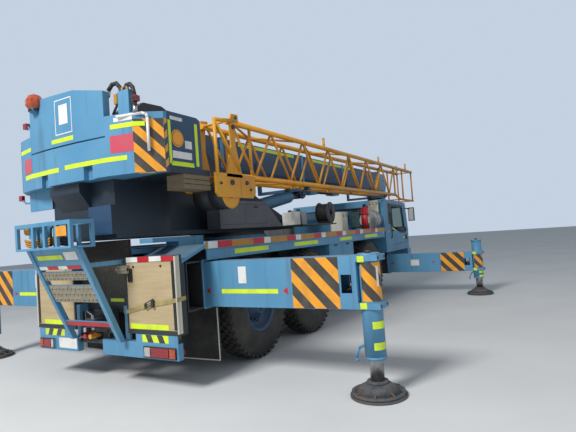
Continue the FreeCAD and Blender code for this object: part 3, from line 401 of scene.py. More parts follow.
def wheel_mesh(s):
    bm = bmesh.new()
    h = TYRE_W / 2
    crown = WHEEL_R - 0.026
    carcass = [(RIM_R - 0.005, -h + 0.035), (RIM_R + 0.02, -h + 0.012), (RIM_R + 0.09, -h + 0.004), (RIM_R + 0.16, -h), (RIM_R + 0.25, -h + 0.01),
               (crown - 0.05, -h + 0.022), (crown - 0.012, -h + 0.045), (crown, -h + 0.09), (crown, h - 0.09), (crown - 0.012, h - 0.045),
               (crown - 0.05, h - 0.022), (RIM_R + 0.25, h - 0.01), (RIM_R + 0.16, h), (RIM_R + 0.09, h - 0.004), (RIM_R + 0.02, h - 0.012),
               (RIM_R - 0.005, h - 0.035)]
    spun(bm, carcass, 72)
    # tread blocks: rows of (middle, half width, half length, skew)
    n = 40
    for row, (b, half, long, skew) in enumerate(((-0.092, 0.026, 0.034, 0.15), (-0.031, 0.026, 0.036, -0.2), (0.031, 0.026, 0.036, 0.2),
                                                 (0.092, 0.026, 0.034, -0.15))):
        for k in range(n):
            turn = Matrix.Rotation(2 * math.pi * (k + 0.5 * (row % 2)) / n, 4, "Y")
            lean = Matrix.Rotation(skew, 4, "X")
            at = turn @ Matrix.Translation((crown + 0.008, b, 0)) @ lean @ Matrix.Diagonal((0.034, 2 * half, 2 * long, 1))
            vs = bmesh.ops.create_cube(bm, size=1, matrix=at)["verts"]
            outer = [v for v in vs if (turn.inverted() @ v.co).x > crown + 0.008]
            bmesh.ops.scale(bm, verts=outer, vec=(0.88, 0.96, 0.88), space=Matrix.Translation(-sum((v.co for v in outer), Vector()) / 4))
    for k in range(2 * n):
        side = 1 if k % 2 else -1
        at = Matrix.Rotation(math.pi * k / n, 4, "Y") @ Matrix.Translation((0.6424, side * 0.1357, 0)) @ Matrix.Rotation(-side * 1.0, 4, "Z")
        bmesh.ops.create_cube(bm, size=1, matrix=at @ Matrix.Diagonal((0.026, 0.068, 0.050, 1)))
    rim = [(RIM_R + 0.012, h - 0.03), (RIM_R + 0.012, h - 0.018), (RIM_R - 0.012, h - 0.018), (RIM_R - 0.03, h - 0.05), (RIM_R - 0.045, 0.045),
           (RIM_R - 0.09, 0.02), (0.19, 0.015), (0.165, 0.05), (0.155, 0.085), (0.120, 0.095), (0.105, 0.155), (0.085, 0.17), (0.03, 0.172),
           (0.03, 0.02), (0.06, -0.07), (0.12, -0.07), (RIM_R - 0.07, -0.02), (RIM_R - 0.02, -0.06), (RIM_R, -h + 0.03), (RIM_R + 0.012, -h + 0.03)]
    spun(bm, rim, 48, 1)
    for k in range(12):
        a = 2 * math.pi * k / 12
        c, d = math.cos(a), math.sin(a)
        rod(bm, (0.175 * c, 0.03, 0.175 * d), (0.175 * c, 0.068, 0.175 * d), 0.0155, 6, 2)
    for k in range(8):
        a = 2 * math.pi * (k + 0.5) / 8
        c, d = math.cos(a), math.sin(a)
        rod(bm, (0.242 * c, 0.012, 0.242 * d), (0.242 * c, 0.024, 0.242 * d), 0.030, 16, 3)
    rod(bm, (0, 0.168, 0), (0, 0.186, 0), 0.045, 24, 2)
    for k in range(6):
        a = 2 * math.pi * k / 6
        rod(bm, (0.068 * math.cos(a), 0.165, 0.068 * math.sin(a)), (0.068 * math.cos(a), 0.178, 0.068 * math.sin(a)), 0.008, 6, 2)
    if s < 0:
        bmesh.ops.scale(bm, verts=bm.verts, vec=(1, -1, 1))
    bmesh.ops.recalc_face_normals(bm, faces=bm.faces)
    return bm


for k, x in AXLE_X.items():
    for side, s in SIDES:
        bm = wheel_mesh(s)
        bmesh.ops.translate(bm, verts=bm.verts, vec=(x, s * TRACK_Y, WHEEL_R))
        # the rims take the darkened blue: their paint with painted shade
        w = piece("tyre_and_rim_%s_%s" % (k, side), bm, "wheel_%s_%s" % (k, side), RUBBER, PAINTED_SHADE_BLUE, DARK, BLACK)
        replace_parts(w, "wheel_%s_%s" % (k, side))


# ---- outrigger jacks ----
# Chromed rods in blue jack tubes stand on round cast pads, rusty from the ground they have lain on.
# The rod keeps a film of oil with dust in it; the pads have ribs and a raised socket.
def greasy_chrome():
    mat = new_material("hard_chrome_rod")
    at = add(mat, "TexCoord")
    film = add(mat, "TexNoise", {"Vector": (at, "Object"), "Scale": 9.0, "Detail": 6.0})
    colour = stops(add(mat, "ValToRGB", {"Fac": film}), (0.4, "#A7A9AB"), (0.75, "#5E5C58"))
    return surface(mat, colour, add(mat, "MapRange", {"Value": film, "To Min": 0.12, "To Max": 0.5}), Metallic=1.0)


def rusty_casting():
    mat = new_material("rusty_steel_casting")
    at = add(mat, "TexCoord")
    scab = add(mat, "TexNoise", {"Vector": (at, "Object"), "Scale": 14.0, "Detail": 9.0, "Roughness": 0.65})
    colour = stops(add(mat, "ValToRGB", {"Fac": scab}), (0.3, "#3C3F42"), (0.52, "#585A5C"), (0.62, "#6B5444"), (0.8, "#7E5236"))
    pits = add(mat, "Bump", {"Height": scab, "Strength": 0.5, "Distance": 0.006})
    return surface(mat, colour, 0.85, pits)


CHROME, RUST = greasy_chrome(), rusty_casting()
dress(CHROME, "luff_rod")
BEAMS = (("rear_right", -1, 0.0, 0.860, 0.530, 1.400), ("rear_left", 1, -0.281, 0.860, 0.530, 1.400),
         ("front_right", -1, 6.794, 0.530, 0.430, 1.212), ("front_left", 1, 7.075, 0.530, 0.430, 1.212))
BEAM_OUT, FOOT_Z = 3.200, 0.365
for name, s, x, z, h, top in BEAMS:
    bm = bmesh.new()
    y = s * BEAM_OUT
    rod(bm, (x, y, 0.09), (x, y, FOOT_Z + 0.21), 0.070, 32, 1)
    rod(bm, (x, y, 0), (x, y, 0.02), 0.28, 40)
    rod(bm, (x, y, 0.02), (x, y, 0.05), 0.265, 40)
    rod(bm, (x, y, 0.05), (x, y, 0.125), 0.235, 40, 0, 0.125)
    rod(bm, (x, y, 0.12), (x, y, 0.150), 0.105, 32)
    for k in range(8):
        a = math.pi * k / 4 + 0.2
        vs = block(bm, 0.10, 0.262, -0.008, 0.008, 0.045, 0.10)
        for v in vs:
            if v.co.x > 0.2 and v.co.z > 0.09:
                v.co.z = 0.058
        bmesh.ops.rotate(bm, verts=vs, cent=(0, 0, 0), matrix=Matrix.Rotation(a, 3, "Z"))
        bmesh.ops.translate(bm, verts=vs, vec=(x, y, 0))
    foot = piece("pad_and_rod_" + name, bm, "jack_" + name, RUST, CHROME)
    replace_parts(foot, "jack_" + name)
    softened("beam_" + name, "beam_" + name, (BLUE,), 0.004)
    # the jack tube's round skin with its collars, the locking lever and the hoses in the beam's open tip
    bm = bmesh.new()
    rod(bm, (x, y, FOOT_Z - 0.001), (x, y, top + 0.001), 0.1062, 48)
    rod(bm, (x, y, FOOT_Z - 0.004), (x, y, FOOT_Z + 0.025), 0.1075, 48)
    rod(bm, (x, y, top - 0.03), (x, y, top + 0.006), 0.112, 48)
    rod(bm, (x, y, top), (x, y, top + 0.03), 0.03, 12, 1)
    for c in (z + 0.03, z + h - 0.03):
        for bx in (-0.09, 0.09):
            rod(bm, (x + bx, y + s * 0.10, c), (x + bx, y + s * 0.136, c), 0.014, 6, 1)
    tube_along(bm, [(x - 0.05, y - s * 0.07, FOOT_Z + 0.15), (x - 0.05, y - s * 0.15, FOOT_Z + 0.10), (x - 0.05, y - s * 0.19, FOOT_Z), (x - 0.05, y - s * 0.17, FOOT_Z - 0.035)], 0.013, 10)
    for d in (-0.05, -0.01, 0.03):
        rod(bm, (x + d, y - s * 0.185, z + 0.31 * h), (x + d + 0.02, y - s * 0.165, z + 0.64 * h), 0.011, 10, 3)
        rod(bm, (x + d, y - s * 0.190, z + 0.40 * h), (x + d, y - s * 0.184, z + 0.47 * h), 0.016, 6, 3)
    for d in (-0.03, 0.01, 0.05):
        rod(bm, (x + d, y - s * 0.25, z + 0.36 * h + d / 2), (x + d, y - s * 0.145, z + 0.45 * h + d), 0.012, 10, 2)
    piece("jack_tube_" + name, bm, "beam_" + name, BLUE, DARK, HOSE, CHROME)


# rounded rims welded round the mouths of the sleeves
bm = bmesh.new()
for name, s, x, z, h, top in BEAMS:
    rim = [(x - 0.136, s * 1.160, z - 0.016), (x + 0.136, s * 1.160, z - 0.016), (x + 0.136, s * 1.160, z + h + 0.016), (x - 0.136, s * 1.160, z + h + 0.016)]
    for p, q in zip(rim, rim[1:] + rim[:1]):
        rod(bm, p, q, 0.0135, 12)
piece("sleeve_rims", bm, "carrier", BLUE)


# ---- stripes and reflectors ----
# Vinyl tape stuck on the paint: amber and black hazard bars, lime strips, red and white blocks, blank plates.
# It is a glossy film, a little dusty, with the fine honeycomb of a reflector under it.
def tape(name, hue, dirty, rough=0.38, comb=0.0):
    mat = new_material(name)
    at = add(mat, "TexCoord")
    dust = add(mat, "TexNoise", {"Vector": (at, "Object"), "Scale": 7.0, "Detail": 7.0})
    colour = stops(add(mat, "ValToRGB", {"Fac": dust}), (0.45, hue), (0.8, dirty))
    # the real comb is 3 mm, too fine to show, so it is drawn at 8 mm
    cells = add(mat, "TexVoronoi", {"Vector": (at, "Object"), "Scale": 125.0}, feature="DISTANCE_TO_EDGE")
    film = add(mat, "Bump", {"Height": cells, "Strength": 0.05 + comb, "Distance": 0.0005})
    return surface(mat, colour, rough, film)


AMBER = tape("amber_reflective_film", "#F0A22C", "#C98A34", comb=0.1)
CHARCOAL = tape("charcoal_vinyl_film", "#3E3B38", "#57524B")
LIME = tape("lime_reflective_film", "#D6EE2A", "#B9CB4A", comb=0.1)
WHITE = tape("white_reflective_film", "#E4E3DE", "#C9C6BC", comb=0.1)
RED_TAPE = tape("red_reflective_film", "#C01E2C", "#9A2C33", comb=0.1)
AMBER_EDGE = tape("yellow_ochre_film", "#B98022", "#94702F")
PINK = tape("faded_red_vinyl", "#C9485A", "#B85A64")
FILM = (AMBER, CHARCOAL, LIME, WHITE, RED_TAPE, AMBER_EDGE, PINK)
T = 0.002           # how far film stands off the paint


def hazard(bm, corners, out, n, lean, slots=(0, 1), phase=0.0):
    """slanting bars on a flat four-cornered field; corners run round it from its lower left, out is its outward normal"""
    a, b, c, d = [Vector(p) for p in corners]
    out = Vector(out).normalized()
    verts = [bm.verts.new(p + out * T) for p in (a, b, c, d)]
    field = bm.faces.new(verts)
    field.normal_update()
    if field.normal.dot(out) < 0:
        field.normal_flip()
    wide, high = b - a, d - a
    cut = (wide.normalized() * 1.0 * lean + high.normalized()).normalized()
    across = cut.cross(out).normalized()
    lo, hi = sorted((0.0, wide.dot(across)))
    span = [p.dot(across) for p in (a, b, c, d)]
    lo, hi = min(span), max(span)
    step = (hi - lo) / n
    mine = [field]
    for k in range(-1, n + 1):
        at = across * (lo + (k + phase) * step)
        geom = mine + list({e for f in mine for e in f.edges}) + list({v for f in mine for v in f.verts})
        got = bmesh.ops.bisect_plane(bm, geom=geom, plane_co=at, plane_no=across, dist=1e-6)
        mine = [g for g in got["geom"] if isinstance(g, bmesh.types.BMFace)]
    for f in mine:
        k = math.floor((f.calc_center_median().dot(across) - lo) / step - phase)
        f.material_index = slots[k % len(slots)]
    return mine


def strip(bm, corners, out, slot, lift=1.0):
    """one flat piece of film; corners run round it"""
    out = Vector(out).normalized()
    f = bm.faces.new([bm.verts.new(Vector(p) + out * T * lift) for p in corners])
    f.normal_update()
    if f.normal.dot(out) < 0:
        f.normal_flip()
    f.material_index = slot
    return f


def on_x(x, y0, y1, z0, z1):
    return [(x, y0, z0), (x, y1, z0), (x, y1, z1), (x, y0, z1)]


def on_y(y, x0, x1, z0, z1):
    return [(x0, y, z0), (x1, y, z0), (x1, y, z1), (x0, y, z1)]


def disc(bm, at, out, r, slot, lift=1.0, sides=40):
    at, out = Vector(at), Vector(out).normalized()
    turn = out.to_track_quat("Z", "Y").to_matrix().to_4x4()
    made = bmesh.ops.create_circle(bm, cap_ends=True, segments=sides, radius=r, matrix=Matrix.Translation(at + out * T * lift) @ turn)
    for f in {f for v in made["verts"] for f in v.link_faces}:
        f.material_index = slot


def film(name, bm, body):
    return piece(name, bm, body, *FILM)


# outrigger beams: hazard bars towards the tip on both faces, a lime strip, red arrows and a blank white plate
for name, s, x, z, h, top in BEAMS:
    bm = bmesh.new()
    rear = name.startswith("rear")
    for side in (-1, 1):
        fx = x + side * 0.120
        y0, y1 = (2.37, 2.915) if rear else (2.42, 2.93)
        hazard(bm, on_x(fx, s * y0, s * y1, z + 0.004, z + h - 0.004), (side, 0, 0), 8 if rear else 7, 0.95 * s)
        if rear:
            strip(bm, on_x(fx, s * 1.42, s * 2.19, z + 0.155, z + 0.205), (side, 0, 0), 2)
            strip(bm, on_x(fx, s * 1.67, s * 1.78, z + 0.27, z + 0.46), (side, 0, 0), 3)
            for y in (1.19, 2.25):
                strip(bm, [(fx, s * (y + 0.06), z + 0.145), (fx, s * (y + 0.06), z + 0.225), (fx, s * y, z + 0.185)], (side, 0, 0), 4)
        else:
            strip(bm, on_x(fx, s * 1.72, s * 1.92, z + 0.15, z + 0.29), (side, 0, 0), 3)
            for y in (1.25, 2.22):
                strip(bm, [(fx, s * (y + 0.05), z + 0.19), (fx, s * (y + 0.05), z + 0.25), (fx, s * y, z + 0.22)], (side, 0, 0), 4)
    # bars bent round the jack tube between its clasps, a blank label, marks below, squares on the clasps
    if rear:
        hazard(bm, on_y(0, -0.06, 0.28, z + 0.075, z + 0.455), (0, -1, 0), 6, 0.9 * s)
        strip(bm, on_y(0, 0.105, 0.135, z + 0.22, z + 0.42), (0, -1, 0), 3, 2.0)
        for c in (0.668, 0.463):
            strip(bm, on_y(0, 0.030, 0.170, c, c + 0.072), (0, -1, 0), 2)
    else:
        hazard(bm, on_y(0, -0.06, 0.26, z + 0.075, z + 0.355), (0, -1, 0), 6, 0.9 * s)
        for c in (z - 0.055, z - 0.145):
            strip(bm, on_y(0, 0.030, 0.170, c, c + 0.050), (0, -1, 0), 2)
    flat = [f for f in bm.faces if all(abs(v.co.y) < 0.02 for v in f.verts)]
    for k in range(-3, 14):
        at = (0.02 * k, 0, 0)
        geom = flat + list({e for f in flat for e in f.edges}) + list({v for f in flat for v in f.verts})
        got = bmesh.ops.bisect_plane(bm, geom=geom, plane_co=at, plane_no=(1, 0, 0), dist=1e-6)
        flat = [g for g in got["geom"] if isinstance(g, bmesh.types.BMFace)]
    for v in {v for f in flat for v in f.verts}:
        a, r = v.co.x / 0.108, 0.1066 - 0.5 * v.co.y
        v.co = (x - r * math.cos(a), s * (BEAM_OUT - 0.0 + r * math.sin(a)), v.co.z)
    for side in (-1, 1):
        for c in (z + 0.006, z + h - 0.066):
            strip(bm, on_x(x + side * 0.120, s * 3.125, s * 3.195, c, c + 0.060), (side, 0, 0), 2)
    film("tape_on_beam_" + name, bm, "beam_" + name)

# deck edge blocks and the lime strips under them, both sides
bm = bmesh.new()
for s in (-1, 1):
    at = -0.19
    blocks = [(0.048, 5), (0.177, 3), (0.29, 4)] + [(0.47, 5), (0.275, 4), (0.165, 3)] * 7
    for long, slot in blocks:
        end = min(at + long, 6.33)
        if end > at:
            strip(bm, on_y(s * 1.275, at, end, 1.545, 1.628), (0, s, 0), slot)
        at = end
    for x0, x1 in ((0.40, 1.20), (1.95, 2.79), (3.72, 4.30), (5.02, 5.80)):
        strip(bm, on_y(s * 1.251, x0, x1, 1.447, 1.510), (0, s, 0), 2)
    # tape rails over the mats
    for k in range(4):
        y0, y1 = s * (0.51 + k * 0.185), s * (0.51 + (k + 1) * 0.185)
        strip(bm, on_x(-0.700, y0, y1, 1.452, 1.510), (-1, 0, 0), 3 if (k % 2 == 0) == (s < 0) else 4)
    strip(bm, on_x(-0.697, s * 0.53, s * 1.12, 0.695, 0.755), (-1, 0, 0), 2)
film("tape_on_carrier", bm, "carrier")


# ---- spreader mats ----
# Hardwood-faced boards that go under the pads, stood on edge in open steel holders behind the rear sleeves.
# Sawn grain and scuffs run along them and the corners are rubbed pale.
def mat_board(name, low, high):
    mat = new_material(name)
    at = add(mat, "TexCoord")
    grain_at = add(mat, "Mapping", {"Vector": (at, "Object"), "Scale": (8.0, 1.2, 14.0)})
    grain = add(mat, "TexNoise", {"Vector": grain_at, "Scale": 2.0, "Detail": 7.0})
    colour = stops(add(mat, "ValToRGB", {"Fac": grain}), (0.3, low), (0.7, high))
    scuff = add(mat, "TexNoise", {"Vector": (at, "Object"), "Scale": 4.0, "Detail": 10.0, "Roughness": 0.7})
    marks = add(mat, "MapRange", {"Value": scuff, "From Min": 0.6, "From Max": 0.7, "To Max": 0.35})
    worn = add(mat, "Mix", {0: marks, 6: (colour, 0), 7: linear("#7C6C55")}, data_type="RGBA")
    fibres = add(mat, "Bump", {"Height": grain, "Strength": 0.12, "Distance": 0.002})
    return surface(mat, (worn, 2), 0.8, fibres)


softened("mats", "carrier", (mat_board("sawn_hardwood_board", "#AF9A74", "#BDA884"),), 0.004)
# the packing boards' brown is drawn darker than their wood: painted shade, as they stand in shade on the upper works
softened("packing_boards", "upper", (mat_board("packing_board_with_painted_shade", "#6E604D", "#85755D"),), 0.003)


def moulded_rubber():
    mat = new_material("moulded_rubber_sheet")
    at = add(mat, "TexCoord")
    dirt = add(mat, "TexNoise", {"Vector": (at, "Object"), "Scale": 6.0, "Detail": 6.0})
    colour = stops(add(mat, "ValToRGB", {"Fac": dirt}), (0.4, "#161616"), (0.8, "#3B3834"))
    return surface(mat, colour, 0.75, add(mat, "Bump", {"Height": dirt, "Strength": 0.2, "Distance": 0.003}))


FLAP = moulded_rubber()
# rubber sheets hung under the rear sleeves, cut at the outer edge to clear the jack tubes when they are drawn in
bm = bmesh.new()
for s in (-1, 1):
    block(bm, -0.004, 0.004, *sorted((s * 0.630, s * 1.256)), 0.190, 0.8395)
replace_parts(piece("mudflap_sheets", bm, "carrier", FLAP), "mudflaps")


# ---- glass ----
# Tempered flat panes in rubber gaskets, lightly green at the edge, dusty on the outside.
def pane():
    mat = new_material("tempered_glass")
    at = add(mat, "TexCoord")
    dust = add(mat, "TexNoise", {"Vector": (at, "Object"), "Scale": 5.0, "Detail": 6.0})
    return surface(mat, linear("#8C9C97"), add(mat, "MapRange", {"Value": dust, "To Min": 0.02, "To Max": 0.16}),
                   Transmission_Weight=0.92, IOR=1.45)


GLASS = pane()
dress(GLASS, "cab_glass", "operator_glass")


# ---- cab inside ----
# Seats in grey woven cloth on black frames, and a moulded dashboard with a leathery grain.
def trim():
    mat = new_material("grained_abs_and_cloth")
    at = add(mat, "TexCoord")
    leather = add(mat, "TexVoronoi", {"Vector": (at, "Object"), "Scale": 160.0})
    tone = add(mat, "TexNoise", {"Vector": (at, "Object"), "Scale": 3.0, "Detail": 4.0})
    colour = stops(add(mat, "ValToRGB", {"Fac": tone}), (0.3, "#1F2022"), (0.8, "#303133"))
    return surface(mat, colour, 0.7, add(mat, "Bump", {"Height": leather, "Strength": 0.3, "Distance": 0.001}))


TRIM = trim()
dress(TRIM, "cab_interior", "operator_seat")


# ---- lattice jib ----
# Round steel tubes in one welded lattice with plate ends, folded back along the boom on two arms.
# It is painted orange-yellow; the head carries a rope sheave between its plates.
JX0, JX1, JY0, JY1, JZ0, JZ1 = 0.340, 8.950, -1.280, -0.880, 2.450, 3.150
PITCH = 0.490
JN = [JX0 + 0.120 + PITCH * i for i in range(15)]
JE = JN[-1]
bm = bmesh.new()
for y in (JY0, JY1):
    rod(bm, (JX0, y, JZ0), (JE + 0.02, y, JZ0), 0.038, 16)
    rod(bm, (JX0, y, JZ1), (JX1, y, JZ1), 0.038, 16)
    rod(bm, (JE, y, JZ0), (JE + 0.43, y, JZ0 - 0.105), 0.027, 12)
    rod(bm, (JE + 0.41, y, JZ0 - 0.105), (JX1, y, JZ0 - 0.120), 0.027, 12)
    for x, z0 in ((JN[1] - 0.08, JZ0), (JE, JZ0), (JE + 0.700, JZ0 - 0.105), (JX1 - 0.030, JZ0 - 0.120)):
        rod(bm, (x, y, z0), (x, y, JZ1), 0.021, 10)
for i, x in enumerate(JN[:-1]):
    za, zb = (JZ1, JZ0) if i % 2 == 0 else (JZ0, JZ1)
    for y in (JY0, JY1):
        rod(bm, (x, y, za), (x + PITCH, y, zb), 0.019, 10)
    if i % 2 == 0:
        ya, yb = (JY0, JY1) if i % 4 == 0 else (JY1, JY0)
        for z in (JZ0, JZ1):
            rod(bm, (x, ya, z), (x + 2 * PITCH, yb, z), 0.017, 10)
for x, z in ((JX0 + 0.02, JZ0), (JX0 + 0.02, JZ1), (JE, JZ0), (JX1 - 0.03, JZ0 - 0.12), (JX1 - 0.03, JZ1), (JE + 0.7, JZ1), (JE + 0.43, JZ0 - 0.105)):
    rod(bm, (x, JY0, z), (x, JY1, z), 0.017, 10)


def plate(bm, pts, y0, y1, slot=0):
    """a flat plate from an outline in the xz plane"""
    vs = [bm.verts.new((x, y0, z)) for x, z in pts]
    f = bm.faces.new(vs)
    f.material_index = slot
    got = bmesh.ops.extrude_face_region(bm, geom=[f])
    vs2 = [g for g in got["geom"] if isinstance(g, bmesh.types.BMVert)]
    bmesh.ops.translate(bm, verts=vs2, vec=(0, y1 - y0, 0))
    faces = list({f for v in vs + vs2 for f in v.link_faces})
    for f in faces:
        f.material_index = slot
    bmesh.ops.recalc_face_normals(bm, faces=faces)
    return vs + vs2


for x, y, top in ((3.250, JY0, 3.340), (6.210, JY0, 3.310), (8.410, JY0, 3.350), (8.920, JY1, 3.390)):
    rod(bm, (x, y, JZ1), (x, y, top), 0.023, 10)
# folding rod with its knobs under the near chord
rod(bm, (1.75, JY0 + 0.05, JZ0 - 0.03), (3.60, JY0 + 0.05, JZ0 - 0.03), 0.014, 10)
for x in (2.06, 2.32, 3.42):
    rod(bm, (x, JY0 + 0.05, JZ0 - 0.06), (x + 0.09, JY0 + 0.05, JZ0 - 0.06), 0.030, 12)
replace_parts(piece("lattice_jib", bm, "boom", YELLOW), "jib")
# the jib's head: plates bolted outside the chords, uprights, the rope sheave below and its pins
bm = bmesh.new()
for y, s, drop in ((JY0 - 0.052, -1, 0.29), (JY1 + 0.052, 1, 0.20)):
    o = y + s * 0.011
    rod(bm, (JX0 - 0.30, o, JZ0 - 0.02), (JX0 - 0.30, o, JZ1 - 0.02), 0.023, 12)
    rod(bm, (JX0 - 0.31, o, JZ1 - 0.04), (JX0 + 0.06, o, JZ1), 0.026, 12)
    rod(bm, (JX0 - 0.29, o, JZ1 - 0.06), (JX0 + 0.16, o, JZ0 + 0.06), 0.025, 12)
    plate(bm, [(JX0 - 0.12, JZ0 - 0.03), (JX0 + 0.02, JZ1 - 0.32), (JX0 + 0.01, JZ1 + 0.01), (JX0 + 0.13, JZ1 + 0.01), (JX0 + 0.11, JZ1 - 0.32),
               (JX0 + 0.22, JZ0 - 0.03)], y - 0.014, y + 0.014)
    low = JZ0 - drop
    plate(bm, [(JX0 - 0.34, low + 0.05), (JX0 - 0.29, low), (JX0 + 0.43, low), (JX0 + 0.50, low + 0.07), (JX0 + 0.50, JZ0 + 0.01),
               (JX0 - 0.34, JZ0 + 0.01)], y - 0.014, y + 0.014)
    plate(bm, [(JX0 + 0.02, JZ1), (JX0 + 0.20, JZ1), (JX0 + 0.19, JZ1 + 0.10), (JX0 + 0.05, JZ1 + 0.09)], y - 0.014, y + 0.014)
    for x, z, r in ((JX0 - 0.02, JZ0 - 0.10, 0.035), (JX0 + 0.30, JZ0 - 0.09, 0.028), (JX0 + 0.38, JZ0 - 0.18, 0.018), (JX0 + 0.07, JZ1 - 0.08, 0.03),
                    (JX0 - 0.25, JZ0 - 0.12, 0.018), (JX0 + 0.13, JZ1 + 0.05, 0.02)):
        rod(bm, (x, y, z), (x, y + s * 0.030, z), r, 16, 1)
spun_at = (JX0 - 0.02, (JY0 + JY1) / 2, JZ0 - 0.24)
half = (JY1 - JY0) / 2 + 0.036
spun(bm, [(0.19, -half), (0.19, -0.03), (0.172, -0.016), (0.172, 0.016), (0.19, 0.03), (0.19, half), (0.16, half + 0.002), (0.06, half + 0.002), (0.04, half + 0.012),
          (0.04, -half - 0.012), (0.06, -half - 0.002), (0.16, -half - 0.002)], 56, 1, spun_at)
for f in bm.faces:
    if f.material_index == 1 and abs(f.normal.y) > 0.9 and abs(abs(f.calc_center_median().y - spun_at[1]) - half) < 0.014:
        f.material_index = 0
bmesh.ops.recalc_face_normals(bm, faces=bm.faces)
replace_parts(piece("jib_head_plates", bm, "boom", YELLOW, DARK), "jib_head")


# ---- counterweight: signs, corner guard, hoses ----
# Cast and welded steel weight bent round the tail. Lime film, amber and charcoal corner bars, blank sign panels
# and a bent white guard tube are on its back; two braided hoses arch over the valve block beside the hood.
W = 1.280
TAIL = [(-0.750, -W), (-0.955, -1.030), (-1.035, -0.680), (-1.070, -0.220), (-1.070, 0.220), (-1.035, 0.680), (-0.955, 1.030), (-0.750, W)]


def on_tail(bm, y0, y1, z0, z1, slot, rise=0.0, lift=1.0):
    """film on the bent back between two widths; rise is how much higher it ends at y1"""
    y0, y1, rise = (y0, y1, rise) if y0 < y1 else (y1, y0, -rise)
    for (xa, ya), (xb, yb) in zip(TAIL, TAIL[1:]):
        a, b = max(y0, ya), min(y1, yb)
        if b - a < 1e-4:
            continue
        pts = []
        for y, dz in ((a, z0), (b, z0), (b, z1), (a, z1)):
            k = (y - ya) / (yb - ya)
            pts.append((xa + (xb - xa) * k, y, dz + rise * (y - y0) / (y1 - y0)))
        strip(bm, pts, (-(yb - ya), xb - xa, 0), slot, lift)


bm = bmesh.new()
for y0, y1, z0, z1, slot in ((-0.944, -0.014, 2.566, 2.618, 2), (0.102, 0.905, 2.556, 2.611, 2), (-1.045, -0.753, 2.916, 2.967, 2), (-0.193, 0.207, 2.895, 2.945, 2),
                             (0.684, 1.020, 2.891, 2.941, 2), (-1.032, -0.742, 2.654, 2.843, 6), (0.689, 0.922, 2.628, 2.812, 6), (-1.19, -1.06, 2.405, 2.415, 5)):
    on_tail(bm, y0, y1, z0, z1, slot)
on_tail(bm, -1.030, -0.800, 2.990, 3.034, 3)
on_tail(bm, -1.130, -1.030, 2.9165, 2.9665, 2, lift=3.0)
# white frame and blank panel where the sign was
for a in (((-0.185, 0.124, 3.385, 3.397)), (-0.185, 0.124, 2.985, 2.997), (-0.185, -0.173, 2.997, 3.385), (0.112, 0.124, 2.997, 3.385), (-0.110, 0.050, 3.10, 3.33)):
    on_tail(bm, *a, 3)
# hazard bars on both corner facets and round to the sides
for s in (-1, 1):
    a, b = Vector((-0.955, s * 1.030)), Vector((-0.752, s * 1.278))
    out = (-(b.y - a.y) * s, (b.x - a.x) * s, 0)
    hazard(bm, [(a.x, a.y, 2.418), (b.x, b.y, 2.418), (b.x, b.y, 2.995), (a.x, a.y, 2.995)], out, 8, -1.0, (0, 1))
    hazard(bm, [(-0.748, s * W, 2.418), (-0.705, s * W, 2.418), (-0.705, s * W, 2.995), (-0.748, s * W, 2.995)], (0, s, 0), 8, 1.0, (0, 1))
film("signs_on_counterweight", bm, "upper")

bm = bmesh.new()
for s in (-1, 1):
    y = s * (W + 0.0)
    for corners, slot in ((on_y(y, -0.690, -0.650, 2.51, 2.99), 2), (on_y(y, -0.66, -0.30, 2.49, 2.54), 2), (on_y(y, -0.262, -0.212, 2.51, 3.01), 2),
                          (on_y(y, -0.640, -0.330, 2.575, 2.655), 3), (on_y(y, -0.435, -0.322, 2.70, 2.79), 3), (on_y(y, -0.655, -0.460, 3.0, 3.04), 3)):
        strip(bm, corners, (0, s, 0), slot)
    disc(bm, (-0.552, y, 2.80), (0, s, 0), 0.098, 0)
    disc(bm, (-0.552, y, 2.80), (0, s, 0), 0.084, 1, 2.0)
    disc(bm, (-0.552, y, 2.80), (0, s, 0), 0.079, 0, 3.0)
film("signs_on_engine_house", bm, "upper")

bm = bmesh.new()
tube_along(bm, [(-1.020, -0.860, 3.035), (-0.905, -1.130, 3.050), (-0.880, -1.165, 3.035), (-0.874, -1.172, 3.0), (-0.874, -1.172, 2.64)], 0.016)
for p in ((-1.010, -0.885, 3.036), (-0.874, -1.172, 2.66)):
    rod(bm, p, (p[0] + 0.05, p[1] + 0.03, p[2]), 0.010, 8)
piece("corner_guard_tube", bm, "upper", tape("white_gloss_enamel_tube", "#E9E9E6", "#C9C7C0"))

bm = bmesh.new()
arches = (((-0.870, 3.068), (-0.870, 3.290), (-0.845, 3.380), (-0.790, 3.440), (-0.720, 3.440), (-0.660, 3.390), (-0.620, 3.320)),
          ((-1.060, 3.068), (-1.060, 3.260), (-1.040, 3.340), (-1.000, 3.385), (-0.950, 3.385), (-0.915, 3.340), (-0.900, 3.250)))
for arch in arches:
    tube_along(bm, [(-0.930, y, z) for y, z in arch], 0.0228)
    for (y, z), (y2, z2) in ((arch[0], arch[1]), (arch[-1], arch[-2])):
        d = Vector((0, y2 - y, z2 - z)).normalized()
        p = Vector((-0.930, y, z))
        rod(bm, p - d * 0.004, p + d * 0.075, 0.029, 16, 1)
        rod(bm, p + d * 0.010, p + d * 0.034, 0.034, 6, 1)
for y, z in ((-0.955, 3.335), (-0.885, 3.335)):
    rod(bm, (-0.93, y, z - 0.01), (-0.93, y, z + 0.035), 0.020, 6, 2)
block(bm, -0.966, -0.905, -0.825, -0.775, 3.20, 3.31, 2)
rod(bm, (-0.94, -0.80, 3.20), (-0.94, -0.72, 3.10), 0.014, 10, 0)
piece("hoses_over_valve_block", bm, "upper", HOSE, CHROME, AMBER_EDGE)


